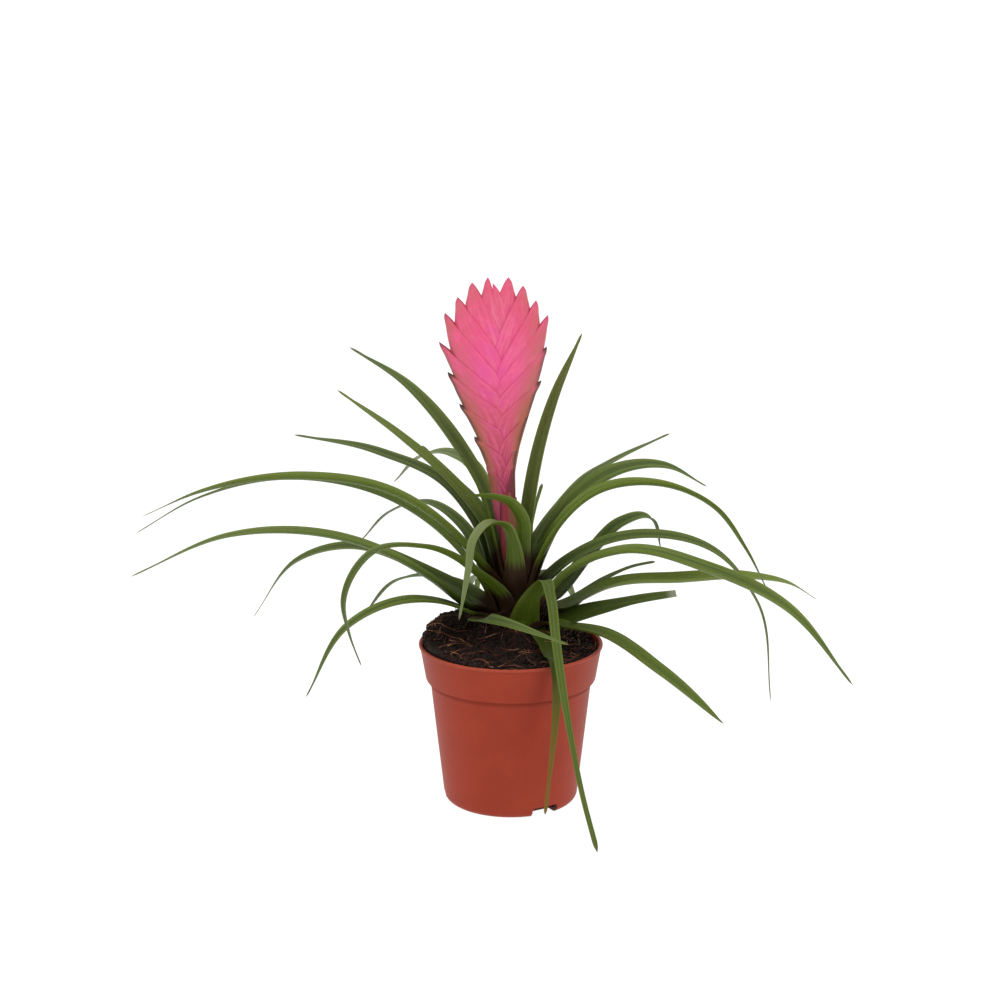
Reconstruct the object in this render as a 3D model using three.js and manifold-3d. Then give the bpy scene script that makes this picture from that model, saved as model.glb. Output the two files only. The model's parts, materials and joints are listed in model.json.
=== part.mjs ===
// A pink quill, a small bromeliad, growing in a round plastic nursery pot.
// Millimetres, +Z up. The origin is the middle of the pot's flat underside, +X is to the right of
// the flower head's broad face and -Y is in front of it.
import * as THREE from 'three';
import { mergeVertices } from 'three/addons/utils/BufferGeometryUtils.js';
import Module from 'manifold-3d';

const wasm = await Module();
wasm.setup();

// Pot
const POT_HEIGHT = 80;
const RIM_RADIUS = 45;
const COLLAR_FOOT_RADIUS = 41.6;
const COLLAR_DEPTH = 18.5;
const SHOULDER_RADIUS = 39.3;
const SHOULDER_DEPTH = 21.5;
const FOOT_RADIUS = 33;
const FOOT_CORNER = 4;
const WALL = 1.2;
const FLOOR = 1.6;
const LIP_OVERHANG = 0.6;
const LIP_DEPTH = 1.6;
const POT_SIDES = 64;
const NOTCH = { width: 11, height: 4, count: 3, firstAzimuth: 300 };

// Soil
const CLEARANCE = 0.3;
const SOIL_RADIUS = 43;
const SOIL_EDGE_HEIGHT = 79.5;
const SOIL_MOUND = 5;
const SOIL_TILT = { rise: 5.5, azimuth: 158 };
const SOIL_LUMP = 0.9;
const SOIL_BULGE = 1.6;
const SOIL_SIDES = 60;
const SOIL_RINGS = 9;

// Crown: the short stem that carries the leaf rings and the flower stalk
const PLANT_X = 2;
const CROWN_RADIUS = 15.2;
const CROWN_FOOT = 66;
const CROWN_EDGE_HEIGHT = 80.5;
const CROWN_TOP_HEIGHT = 90.5;
const CROWN_SIDES = 40;
const STALK_HOLE_RADIUS = 3.6;
const STALK_HOLE_FLOOR = 70;

// Leaf rings: ring 0 is the innermost
const RING_RADIUS = 6;
const RING_PITCH = 1.06;
const SHEATH_HALF_ANGLE = 40;
const SHEATH_HALF_WIDTH = 5;
const SHEATH_TOP = 103;
const SHEATH_TOP_DROP = 1.8;

// Leaf blade
const LEAF_THICKNESS = 0.65;
const BLADE_CURVE_RADIUS = 4.6;
const CURVE_BLEND = [24, 64];
const CENTRE_BLEND = [18, 50];
const ROLL_START = 20;
const MOST_SPREAD = 1.2;
const TIP_HALF_WIDTH = 0.45;
const TAPER_POWER = 2.2;
const SWELL_LENGTH = 22;
const CUT_NARROWING = 0.15;
const PATH_SAMPLES = 96;
const LEAF_STEPS = 16;
const LEAF_COLUMNS = 3;
const SHEATH_PIECES = 3;

// Flower stalk and head
const HEAD_FOOT = 146;
const HEAD_LEAN = 0.0708;
const HEAD_LEAN_START = 91;
const HEAD_LEAN_END = 204;
const KEEL_FOOT = 3;
const STALK_RADIUS = 3.3;
const STALK_TOP_RADIUS = 3.8;
const STALK_SIDES = 16;
const HEAD_SIDES = 12;
const BRACT_ROWS = 8;
const BRACT_COLUMNS = 3;
const BRACT_MARGIN = 0.48;
const BRACT_EDGE = 0.35;
const MARGIN_OVERLAP = 2.2;

const radians = THREE.MathUtils.degToRad;

function material(color, roughness) {
  return new THREE.MeshStandardMaterial({ color, roughness, metalness: 0 });
}

const POT_PLASTIC = material(0xa8432c, 0.45);
const PEAT = material(0x2c1a14, 0.95);
const CROWN_STEM = material(0x3a2420, 0.8);
const LEAF_GREEN = material(0x4c6430, 0.5);
const STALK_RED = material(0x8c3038, 0.5);
const BRACT_PINK = material(0xe45080, 0.45);

// Adds one named piece to the group.
function addPiece(group, name, geometry, surface) {
  const mesh = new THREE.Mesh(geometry, surface);
  mesh.name = name;
  group.add(mesh);
}

// A closed geometry from shared points and faces.
function closedGeometry(points, faces) {
  const geometry = new THREE.BufferGeometry();
  const numbers = points.flatMap((point) => [point.x, point.y, point.z]);
  geometry.setAttribute('position', new THREE.Float32BufferAttribute(numbers, 3));
  geometry.setIndex(faces);
  geometry.computeVertexNormals();
  return geometry;
}

// A solid for joining and cutting, made from a closed geometry.
function toSolid(geometry) {
  const bare = geometry.clone();
  bare.deleteAttribute('normal');
  bare.deleteAttribute('uv');
  const merged = mergeVertices(bare, 1e-4);
  const vertProperties = new Float32Array(merged.attributes.position.array);
  const triVerts = new Uint32Array(merged.index.array);
  return new wasm.Manifold(new wasm.Mesh({ numProp: 3, vertProperties, triVerts }));
}

// The geometry of a joined or cut solid. Only its largest body is kept, so no scrap stays inside it.
function toGeometry(solid) {
  const bodies = solid.decompose();
  const largest = bodies.reduce((best, body) => (body.volume() > best.volume() ? body : best));
  const mesh = largest.getMesh();
  const geometry = new THREE.BufferGeometry();
  geometry.setAttribute('position', new THREE.BufferAttribute(new Float32Array(mesh.vertProperties), 3));
  geometry.setIndex(new THREE.BufferAttribute(new Uint32Array(mesh.triVerts), 1));
  geometry.computeVertexNormals();
  return geometry;
}

// A turned body about the Z axis, from a profile of radius and height that closes on itself.
function turned(profile, sides) {
  const closed = [...profile, profile[0]].map(([radius, height]) => new THREE.Vector2(radius, height));
  const geometry = new THREE.LatheGeometry(closed, sides);
  geometry.rotateX(Math.PI / 2);
  return geometry;
}

// The outside of the pot from its flat foot to the lip, as radius and height.
function potOutside() {
  const outside = [];
  const corner = FOOT_RADIUS - FOOT_CORNER;
  for (let step = 0; step <= 4; step += 1) {
    const angle = radians(-90 + 22 * step);
    outside.push([corner + FOOT_CORNER * Math.cos(angle), FOOT_CORNER + FOOT_CORNER * Math.sin(angle)]);
  }
  outside.push([SHOULDER_RADIUS, POT_HEIGHT - SHOULDER_DEPTH]);
  outside.push([COLLAR_FOOT_RADIUS, POT_HEIGHT - COLLAR_DEPTH]);
  outside.push([RIM_RADIUS - LIP_OVERHANG, POT_HEIGHT - LIP_DEPTH]);
  outside.push([RIM_RADIUS, POT_HEIGHT - LIP_DEPTH / 2]);
  outside.push([RIM_RADIUS - LIP_OVERHANG / 2, POT_HEIGHT]);
  return outside;
}

// The inside of the pot from the lip down to its floor.
function potInside() {
  return [
    [RIM_RADIUS - LIP_OVERHANG - WALL, POT_HEIGHT],
    [COLLAR_FOOT_RADIUS - WALL, POT_HEIGHT - COLLAR_DEPTH],
    [SHOULDER_RADIUS - WALL, POT_HEIGHT - SHOULDER_DEPTH],
    [FOOT_RADIUS - WALL, FOOT_CORNER],
    [FOOT_RADIUS - FOOT_CORNER, FLOOR],
  ];
}

function makePot() {
  const profile = [[0, 0], ...potOutside(), ...potInside(), [0, FLOOR]];
  let pot = toSolid(turned(profile, POT_SIDES));
  for (let index = 0; index < NOTCH.count; index += 1) {
    const azimuth = radians(NOTCH.firstAzimuth + (360 / NOTCH.count) * index);
    const cutter = new THREE.BoxGeometry(2 * FOOT_CORNER, NOTCH.width, 2 * NOTCH.height);
    cutter.translate(FOOT_RADIUS, 0, 0);
    cutter.rotateZ(azimuth);
    pot = pot.subtract(toSolid(cutter));
  }
  return toGeometry(pot);
}

// Height of the peat at a point of the pot's mouth: a low mound that stands higher at the back left.
function soilTop(x, y) {
  const out = Math.hypot(x, y) / SOIL_RADIUS;
  const azimuth = Math.atan2(y, x);
  const tilt = SOIL_TILT.rise * out * Math.cos(azimuth - radians(SOIL_TILT.azimuth));
  const mound = SOIL_MOUND * (1 - out * out);
  const lumps = Math.sin(x * 0.42 + 1.3) * Math.cos(y * 0.37) + Math.sin(x * 0.23 - y * 0.51);
  return SOIL_EDGE_HEIGHT + tilt + mound + SOIL_LUMP * lumps;
}

// Radius of the pot's inside at a height between its shoulder and its lip.
function insideRadius(height) {
  const share = (height - POT_HEIGHT + COLLAR_DEPTH) / COLLAR_DEPTH;
  return THREE.MathUtils.lerp(COLLAR_FOOT_RADIUS, RIM_RADIUS - LIP_OVERHANG, share) - WALL;
}

// The root ball: a plug of peat that fills the pot, with a plain round hole for the crown.
function makeSoil() {
  const inner = CROWN_RADIUS + CLEARANCE;
  const floor = FLOOR + CLEARANCE;
  const insideWall = WALL + CLEARANCE;
  const wallSide = [
    [FOOT_RADIUS - FOOT_CORNER - CLEARANCE, floor],
    [FOOT_RADIUS - insideWall, FOOT_CORNER + CLEARANCE],
    [SHOULDER_RADIUS - insideWall, POT_HEIGHT - SHOULDER_DEPTH],
    [COLLAR_FOOT_RADIUS - insideWall, POT_HEIGHT - COLLAR_DEPTH],
  ];
  const points = [];
  const faces = [];
  const centreLow = 0;
  points.push(new THREE.Vector3(0, 0, floor));
  const centreHigh = 1;
  points.push(new THREE.Vector3(PLANT_X, 0, CROWN_FOOT - CLEARANCE));
  // One column of points for each direction, from the floor up the side, over the top and down the hole.
  const column = wallSide.length + 1 + SOIL_RINGS + 1 + 1;
  for (let side = 0; side < SOIL_SIDES; side += 1) {
    const azimuth = (2 * Math.PI * side) / SOIL_SIDES;
    const cos = Math.cos(azimuth);
    const sin = Math.sin(azimuth);
    for (const [radius, height] of wallSide) {
      points.push(new THREE.Vector3(radius * cos, radius * sin, height));
    }
    // Where the peat stands higher than the lip it bulges out over it, just clear of it.
    const edgeHeight = soilTop(SOIL_RADIUS * cos, SOIL_RADIUS * sin);
    const lipHeight = Math.min(edgeHeight - 0.5, POT_HEIGHT);
    points.push(new THREE.Vector3(
      (insideRadius(lipHeight) - CLEARANCE) * cos,
      (insideRadius(lipHeight) - CLEARANCE) * sin,
      lipHeight,
    ));
    const bulge = SOIL_BULGE * THREE.MathUtils.smoothstep(edgeHeight, POT_HEIGHT + 0.8, POT_HEIGHT + 4);
    const edgeRadius = insideRadius(Math.min(edgeHeight, POT_HEIGHT)) - CLEARANCE + bulge;
    for (let ring = 0; ring <= SOIL_RINGS; ring += 1) {
      const share = 1 - ring / SOIL_RINGS;
      const rim = new THREE.Vector2(edgeRadius * cos, edgeRadius * sin);
      const hole = new THREE.Vector2(PLANT_X + inner * cos, inner * sin);
      const place = hole.lerp(rim, share);
      points.push(new THREE.Vector3(place.x, place.y, soilTop(place.x, place.y)));
    }
    points.push(new THREE.Vector3(PLANT_X + inner * cos, inner * sin, CROWN_FOOT - CLEARANCE));
  }
  for (let side = 0; side < SOIL_SIDES; side += 1) {
    const here = 2 + side * column;
    const next = 2 + ((side + 1) % SOIL_SIDES) * column;
    faces.push(centreLow, next, here);
    for (let row = 0; row < column - 1; row += 1) {
      faces.push(here + row, next + row, next + row + 1);
      faces.push(here + row, next + row + 1, here + row + 1);
    }
    faces.push(centreHigh, here + column - 1, next + column - 1);
  }
  return closedGeometry(points, faces);
}

// The short stem. Its top is a low cone that the leaf rings stand on, with a hole for the stalk.
function makeCrown() {
  const profile = [
    [0, CROWN_FOOT],
    [CROWN_RADIUS, CROWN_FOOT],
    [CROWN_RADIUS, CROWN_EDGE_HEIGHT],
    [STALK_HOLE_RADIUS, CROWN_TOP_HEIGHT],
    [STALK_HOLE_RADIUS, STALK_HOLE_FLOOR],
    [0, STALK_HOLE_FLOOR],
  ];
  const geometry = toGeometry(toSolid(turned(profile, CROWN_SIDES)));
  geometry.translate(PLANT_X, 0, 0);
  return geometry;
}

// Height of the crown's cone at a distance from the plant's axis.
function crownTop(radius) {
  const share = (CROWN_RADIUS - radius) / (CROWN_RADIUS - STALK_HOLE_RADIUS);
  return CROWN_EDGE_HEIGHT + share * (CROWN_TOP_HEIGHT - CROWN_EDGE_HEIGHT);
}

function fromAxis(azimuth, out, up) {
  const angle = radians(azimuth);
  return new THREE.Vector3(PLANT_X + out * Math.cos(angle), out * Math.sin(angle), up);
}

// A smooth path that starts straight up at the first point and runs through all the others.
function bladePath(points) {
  const last = points.length - 1;
  const tangents = points.map((point, index) => {
    if (index === 0) return new THREE.Vector3(0, 0, points[1].distanceTo(point));
    if (index === last) return point.clone().sub(points[last - 1]);
    const before = point.distanceTo(points[index - 1]);
    const after = point.distanceTo(points[index + 1]);
    const into = point.clone().sub(points[index - 1]).divideScalar(before);
    const out = points[index + 1].clone().sub(point).divideScalar(after);
    return into.multiplyScalar(after).add(out.multiplyScalar(before)).divideScalar(before + after);
  });
  const samples = [];
  for (let index = 0; index < last; index += 1) {
    const chord = points[index + 1].distanceTo(points[index]);
    const unit = (tangent) => tangent.clone().normalize().multiplyScalar(chord);
    const pieces = Math.max(6, Math.round(PATH_SAMPLES / last));
    for (let step = 0; step < pieces; step += 1) {
      const t = step / pieces;
      const point = new THREE.Vector3();
      point.addScaledVector(points[index], (1 + 2 * t) * (1 - t) * (1 - t));
      point.addScaledVector(unit(tangents[index]), t * (1 - t) * (1 - t));
      point.addScaledVector(points[index + 1], t * t * (3 - 2 * t));
      point.addScaledVector(unit(tangents[index + 1]), t * t * (t - 1));
      samples.push(point);
    }
  }
  samples.push(points[last].clone());
  return samples;
}

// Sections along a path: the point, its length so far, and a frame that never rolls about the path.
function carryFrame(samples, firstSide) {
  const stations = [];
  let side = firstSide.clone();
  let length = 0;
  for (let index = 0; index < samples.length; index += 1) {
    const before = samples[Math.max(index - 1, 0)];
    const after = samples[Math.min(index + 1, samples.length - 1)];
    const forward = after.clone().sub(before).normalize();
    side = side.clone().addScaledVector(forward, -side.dot(forward)).normalize();
    if (index > 0) length += samples[index].distanceTo(samples[index - 1]);
    stations.push({ point: samples[index], forward, side, face: forward.clone().cross(side), length });
  }
  return stations;
}

// Half the blade's width, along its curve, at a share of its length: the sheath, a swell, then a long taper to the tip.
function halfWidth(leaf, share, length, sheathWidth) {
  const swell = THREE.MathUtils.smoothstep(length, 0, SWELL_LENGTH);
  const blade = leaf.width / 2;
  const start = sheathWidth + (blade - sheathWidth) * swell;
  if (leaf.cut) return start * (1 - CUT_NARROWING * share);
  return TIP_HALF_WIDTH + (start - TIP_HALF_WIDTH) * (1 - share ** TAPER_POWER);
}

// One leaf: a thin channelled blade that wraps the crown at its sheath and arches out to its tip.
function makeLeaf(leaf) {
  const radius = RING_RADIUS + RING_PITCH * leaf.ring;
  const sheathAngle = Math.min(radians(SHEATH_HALF_ANGLE), Math.asin(Math.min(1, SHEATH_HALF_WIDTH / radius)));
  const sheathWidth = radius * sheathAngle;
  const innerEdge = (radius - LEAF_THICKNESS) * Math.cos(sheathAngle / LEAF_COLUMNS);
  const foot = crownTop(innerEdge) + CLEARANCE;
  const top = SHEATH_TOP - SHEATH_TOP_DROP * leaf.ring;
  const base = fromAxis(leaf.sheath, radius, top);
  const points = leaf.path.map(([out, up, azimuth = leaf.blade]) => fromAxis(azimuth, out, up));
  const upright = [];
  for (let step = 0; step < SHEATH_PIECES; step += 1) {
    upright.push(fromAxis(leaf.sheath, radius, foot + ((top - foot) * step) / SHEATH_PIECES));
  }
  const samples = [...upright, ...bladePath([base, ...points])];
  const angle = radians(leaf.sheath);
  const stations = carryFrame(samples, new THREE.Vector3(-Math.sin(angle), Math.cos(angle), 0));
  const total = stations[stations.length - 1].length;

  const vertices = [];
  const faces = [];
  const columns = LEAF_COLUMNS + 1;
  const rows = [];
  const steps = leaf.steps ?? LEAF_STEPS;
  for (let row = 0; row <= steps; row += 1) {
    const goal = total * (row / steps) ** 1.05;
    rows.push(stations.findIndex((station) => station.length >= goal - 1e-6));
  }
  for (const index of rows) {
    const { point, side, face, length } = stations[index];
    const share = length / total;
    const half = halfWidth(leaf, share, length, sheathWidth);
    const blend = THREE.MathUtils.smoothstep(length, ...CURVE_BLEND);
    const bend = THREE.MathUtils.lerp(radius, BLADE_CURVE_RADIUS, blend);
    const spread = Math.min(MOST_SPREAD, half / bend);
    const depth = bend * (1 - Math.cos(spread));
    const middle = (depth / 2) * THREE.MathUtils.smoothstep(length, ...CENTRE_BLEND);
    const roll = radians(leaf.roll ?? 0) * THREE.MathUtils.smoothstep(length, ROLL_START, 0.6 * total);
    const across = side.clone().multiplyScalar(Math.cos(roll)).addScaledVector(face, Math.sin(roll));
    const inward = face.clone().multiplyScalar(Math.cos(roll)).addScaledVector(side, -Math.sin(roll));
    for (const skin of [0, 1]) {
      const reach = bend - (skin === 1 ? LEAF_THICKNESS : 0);
      for (let column = 0; column < columns; column += 1) {
        const turn = spread * ((2 * column) / LEAF_COLUMNS - 1);
        const vertex = point.clone();
        vertex.addScaledVector(across, reach * Math.sin(turn));
        vertex.addScaledVector(inward, bend - reach * Math.cos(turn) - middle);
        vertices.push(vertex);
      }
    }
  }
  // Each row holds the outer skin's points and then the inner skin's, joined round as one ring.
  const ring = [];
  for (let column = 0; column < columns; column += 1) ring.push(column);
  for (let column = columns - 1; column >= 0; column -= 1) ring.push(columns + column);
  const size = 2 * columns;
  for (let row = 0; row < steps; row += 1) {
    for (let place = 0; place < size; place += 1) {
      const a = row * size + ring[place];
      const b = row * size + ring[(place + 1) % size];
      faces.push(a, b, b + size, a, b + size, a + size);
    }
  }
  const end = steps * size;
  for (let column = 0; column < LEAF_COLUMNS; column += 1) {
    faces.push(column, columns + column, column + 1, column + 1, columns + column, columns + column + 1);
    faces.push(end + column, end + column + 1, end + columns + column);
    faces.push(end + column + 1, end + columns + column + 1, end + columns + column);
  }
  return closedGeometry(vertices, faces);
}

// Every leaf, from the innermost ring out. The sheath and the blade each have an azimuth in degrees,
// where 0 is to the right, 90 is to the back, 180 is to the left and 270 is to the front. The path
// gives the distance out from the plant's axis and the height above the pot's foot at a few places
// along the blade, and the azimuth there where the blade swings aside.
const LEAVES = [
  { name: 'leaf_right_upright', ring: 0, sheath: 40, blade: 30, width: 11,
    path: [[9, 145], [15, 178], [23, 199], [37, 229]] },
  { name: 'leaf_left_upright', ring: 0, sheath: 158, blade: 140, width: 11.5,
    path: [[9.5, 128, 150], [19, 150], [38, 174], [68, 197], [102, 210]] },
  { name: 'leaf_front_curl_high', ring: 0, sheath: 280, blade: 236, width: 9.5, roll: -30,
    path: [[10.5, 131, 290], [13, 148, 285], [16, 156, 264], [23, 159, 247], [38, 161, 233]] },
  { name: 'leaf_right_back_high', ring: 1, sheath: 50, blade: 50, width: 7,
    path: [[12, 118], [22, 131], [36, 143.5], [54, 152], [75, 158], [123, 162]] },
  { name: 'leaf_left_high', ring: 1, sheath: 156, blade: 156, width: 9.5,
    path: [[11, 118], [17.5, 135], [32, 152], [62, 175], [94, 196]] },
  { name: 'leaf_front_curl', ring: 1, sheath: 262, blade: 236, width: 12, roll: -40,
    path: [[13, 118, 268], [16, 135, 264], [20, 144, 253], [28, 146, 241], [37, 141], [43, 126], [50, 107]] },
  { name: 'leaf_right_tall_arch', ring: 2, sheath: 3, blade: 8, width: 11.5,
    path: [[14, 119], [21, 134], [41, 154], [71, 156], [98, 143], [126, 102]] },
  { name: 'leaf_left_back_point', ring: 2, sheath: 117, blade: 131, width: 8,
    path: [[13, 122], [27, 142], [45, 152], [71, 166]] },
  { name: 'leaf_left_long_arch', ring: 2, sheath: 195, blade: 188, width: 12.5,
    path: [[22, 126], [56, 155.5], [104, 166.5], [151, 161], [176, 150]] },
  { name: 'leaf_right_twist', ring: 3, sheath: 22, blade: 27, width: 10.5,
    roll: 18, path: [[18, 122], [31, 143.5], [55, 160.5], [83, 160], [106, 146]] },
  { name: 'leaf_back_left_arch', ring: 3, sheath: 96, blade: 112, width: 8.5,
    path: [[13.5, 116, 104], [28, 140], [46, 157], [82, 156], [128, 146], [170, 124]] },
  { name: 'leaf_left_curl', ring: 3, sheath: 222, blade: 216, width: 9,
    path: [[27, 120], [55, 136], [84, 137], [98, 118], [95, 102], [89, 85]], steps: 20 },
  { name: 'leaf_right_long_fall', ring: 4, sheath: 10, blade: 7, width: 11,
    path: [[22, 113], [41, 127], [70, 132], [98, 123], [119, 97], [128, 47]] },
  { name: 'leaf_back_high', ring: 4, sheath: 80, blade: 86, width: 10.5,
    path: [[20, 118], [45, 130], [80, 124], [115, 102], [140, 74]] },
  { name: 'leaf_left_back_high', ring: 4, sheath: 150, blade: 147, width: 9.5,
    path: [[24, 130], [40, 149], [80, 165], [132, 167]] },
  { name: 'leaf_front_folded', ring: 4, sheath: 238, blade: 232, width: 9,
    path: [[20, 103], [30, 104], [38, 103], [42, 103, 239], [44, 104, 254], [48, 103, 270], [54, 102, 283],
      [64, 97, 295]] },
  { name: 'leaf_right_broad', ring: 5, sheath: 337, blade: 343, width: 13.5,
    path: [[18, 105, 336], [29, 118, 338], [52, 130], [96, 126], [131, 106], [164, 75]] },
  { name: 'leaf_back_right_short', ring: 5, sheath: 58, blade: 60, width: 8,
    path: [[22, 103], [34, 107], [46, 104], [57, 96]] },
  { name: 'leaf_back_left_low', ring: 5, sheath: 126, blade: 132, width: 7.5,
    path: [[22, 116], [38, 130], [62, 138], [95, 128], [119, 108]] },
  { name: 'leaf_left_long_behind', ring: 5, sheath: 184, blade: 174, width: 10,
    path: [[22.5, 118.5, 178], [56, 148], [105, 159.5], [155, 147], [185, 131]] },
  { name: 'leaf_right_hook', ring: 6, sheath: 28, blade: 28, width: 10.5,
    path: [[26, 98], [42, 122], [60, 136], [75, 134], [82, 118]] },
  { name: 'leaf_back_arch', ring: 6, sheath: 98, blade: 98, width: 10.5,
    path: [[25, 104], [55, 116], [95, 108], [130, 82], [148, 60]] },
  { name: 'leaf_left_low_arch', ring: 6, sheath: 204, blade: 195, width: 12,
    path: [[25, 104], [43, 117], [91, 138], [139, 143], [184, 127]] },
  { name: 'leaf_front_creased', ring: 6, sheath: 296, blade: 292, width: 9.5,
    path: [[19, 103, 290], [27, 116, 297], [31, 119, 297.5], [36, 113, 296], [46, 94, 292], [56, 76, 289.5],
      [70, 54, 289.5], [85, 31, 290.5], [101, 8]] },
  { name: 'leaf_right_level', ring: 7, sheath: 14, blade: 17, width: 10.5,
    path: [[28, 95], [49, 104], [86, 106], [126, 104], [158, 88]] },
  { name: 'leaf_back_right_low', ring: 7, sheath: 70, blade: 72, width: 9.5,
    path: [[24, 96], [55, 103], [90, 93], [118, 68]] },
  { name: 'leaf_left_mid_arch', ring: 7, sheath: 157, blade: 165, width: 10.5,
    path: [[26, 107], [48, 117], [84, 122], [112, 113], [135, 84]] },
  { name: 'leaf_right_cut', ring: 8, sheath: 12, blade: 3, width: 8.5, cut: true,
    path: [[22, 88], [40, 95], [61, 99], [78, 102]], steps: 10 },
  { name: 'leaf_right_back_thin', ring: 8, sheath: 54, blade: 36, width: 6.5,
    path: [[28, 93], [56, 103], [88, 108]], steps: 12 },
  { name: 'leaf_back_left_fall', ring: 8, sheath: 106, blade: 110, width: 9,
    path: [[24, 93], [55, 98], [88, 86], [114, 58]] },
  { name: 'leaf_left_back_thin', ring: 8, sheath: 150, blade: 148, width: 7,
    path: [[25, 101], [44, 108], [69, 102], [92, 75]] },
  { name: 'leaf_left_low_fall', ring: 8, sheath: 206, blade: 204, width: 9.5,
    path: [[29, 98], [55, 107], [86, 98], [107, 68]] },
  { name: 'leaf_front_hanging', ring: 8, sheath: 285, blade: 288, width: 7.5,
    path: [[25, 98], [36, 98], [44, 89, 289], [49, 72, 291], [51, 50, 291], [53, 30, 289.5], [55, 12, 286.5]] },
  { name: 'leaf_right_low_fall', ring: 8, sheath: 329, blade: 335, width: 11,
    path: [[29, 90], [45, 91], [76, 75], [108, 55]] },
];

// Sideways place of the stalk's and the head's axis at a height: it leans, then stands straight.
function axisX(height) {
  return PLANT_X - HEAD_LEAN * (THREE.MathUtils.clamp(height, HEAD_LEAN_START, HEAD_LEAN_END) - HEAD_LEAN_START);
}

// A tapering body round the leaning axis, from rows of height, half width and half depth.
function spindle(rows, sides) {
  const points = [];
  const faces = [];
  for (const [height, halfAcross, halfDeep] of rows) {
    for (let side = 0; side < sides; side += 1) {
      const angle = (2 * Math.PI * side) / sides;
      const x = axisX(height) + halfAcross * Math.cos(angle);
      points.push(new THREE.Vector3(x, halfDeep * Math.sin(angle), height));
    }
  }
  for (let row = 0; row < rows.length - 1; row += 1) {
    for (let side = 0; side < sides; side += 1) {
      const a = row * sides + side;
      const b = row * sides + ((side + 1) % sides);
      faces.push(a, b, b + sides, a, b + sides, a + sides);
    }
  }
  const low = points.length;
  points.push(new THREE.Vector3(axisX(rows[0][0]), 0, rows[0][0]));
  const high = points.length;
  const topHeight = rows[rows.length - 1][0];
  points.push(new THREE.Vector3(axisX(topHeight), 0, topHeight));
  const lastRow = (rows.length - 1) * sides;
  for (let side = 0; side < sides; side += 1) {
    const next = (side + 1) % sides;
    faces.push(low, next, side);
    faces.push(high, lastRow + side, lastRow + next);
  }
  return closedGeometry(points, faces);
}

// One keeled bract. Its keel runs up the outer edge of the head to the tip, its free margins cross
// the head's middle line lower down, and both faces slope outwards from the keel to the margins.
function makeBract(bract) {
  const { side, out, tip, length, belly, deep } = bract;
  const points = [];
  const faces = [];
  for (const front of [1, -1]) {
    for (let row = 0; row <= BRACT_ROWS; row += 1) {
      const share = row / BRACT_ROWS;
      const height = tip - length * (1 - share);
      const arch = 2 * (KEEL_FOOT - 2 * belly + out);
      const keel = side * (KEEL_FOOT + (out - KEEL_FOOT - arch) * share + arch * share * share);
      const opened = THREE.MathUtils.clamp((share - BRACT_MARGIN) / (1 - BRACT_MARGIN), 0, 1);
      const inner = -side * MARGIN_OVERLAP * (1 - opened) + side * out * opened ** 0.92;
      const swell = share < BRACT_MARGIN ? 0.72 + (0.28 * share) / BRACT_MARGIN : Math.sqrt(1 - opened ** 2.2);
      for (let column = 0; column <= BRACT_COLUMNS; column += 1) {
        const across = column / BRACT_COLUMNS;
        const x = axisX(height) + keel + (inner - keel) * across;
        const depth = BRACT_EDGE + Math.max(deep * swell - BRACT_EDGE, 0) * across ** 0.7;
        points.push(new THREE.Vector3(x, -front * depth, height));
      }
    }
  }
  const width = BRACT_COLUMNS + 1;
  const back = (BRACT_ROWS + 1) * width;
  const quad = (a, b, c, d) => {
    if (side > 0) faces.push(a, b, c, a, c, d);
    else faces.push(a, c, b, a, d, c);
  };
  for (let row = 0; row < BRACT_ROWS; row += 1) {
    for (let column = 0; column < BRACT_COLUMNS; column += 1) {
      const a = row * width + column;
      quad(a, a + width, a + width + 1, a + 1);
      quad(back + a, back + a + 1, back + a + width + 1, back + a + width);
    }
    const keelEdge = row * width;
    quad(keelEdge, back + keelEdge, back + keelEdge + width, keelEdge + width);
    const freeEdge = keelEdge + BRACT_COLUMNS;
    quad(freeEdge, freeEdge + width, back + freeEdge + width, back + freeEdge);
  }
  for (let column = 0; column < BRACT_COLUMNS; column += 1) {
    quad(column, column + 1, back + column + 1, back + column);
    const top = BRACT_ROWS * width + column;
    quad(top, back + top, back + top + 1, top + 1);
  }
  return closedGeometry(points, faces);
}

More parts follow.
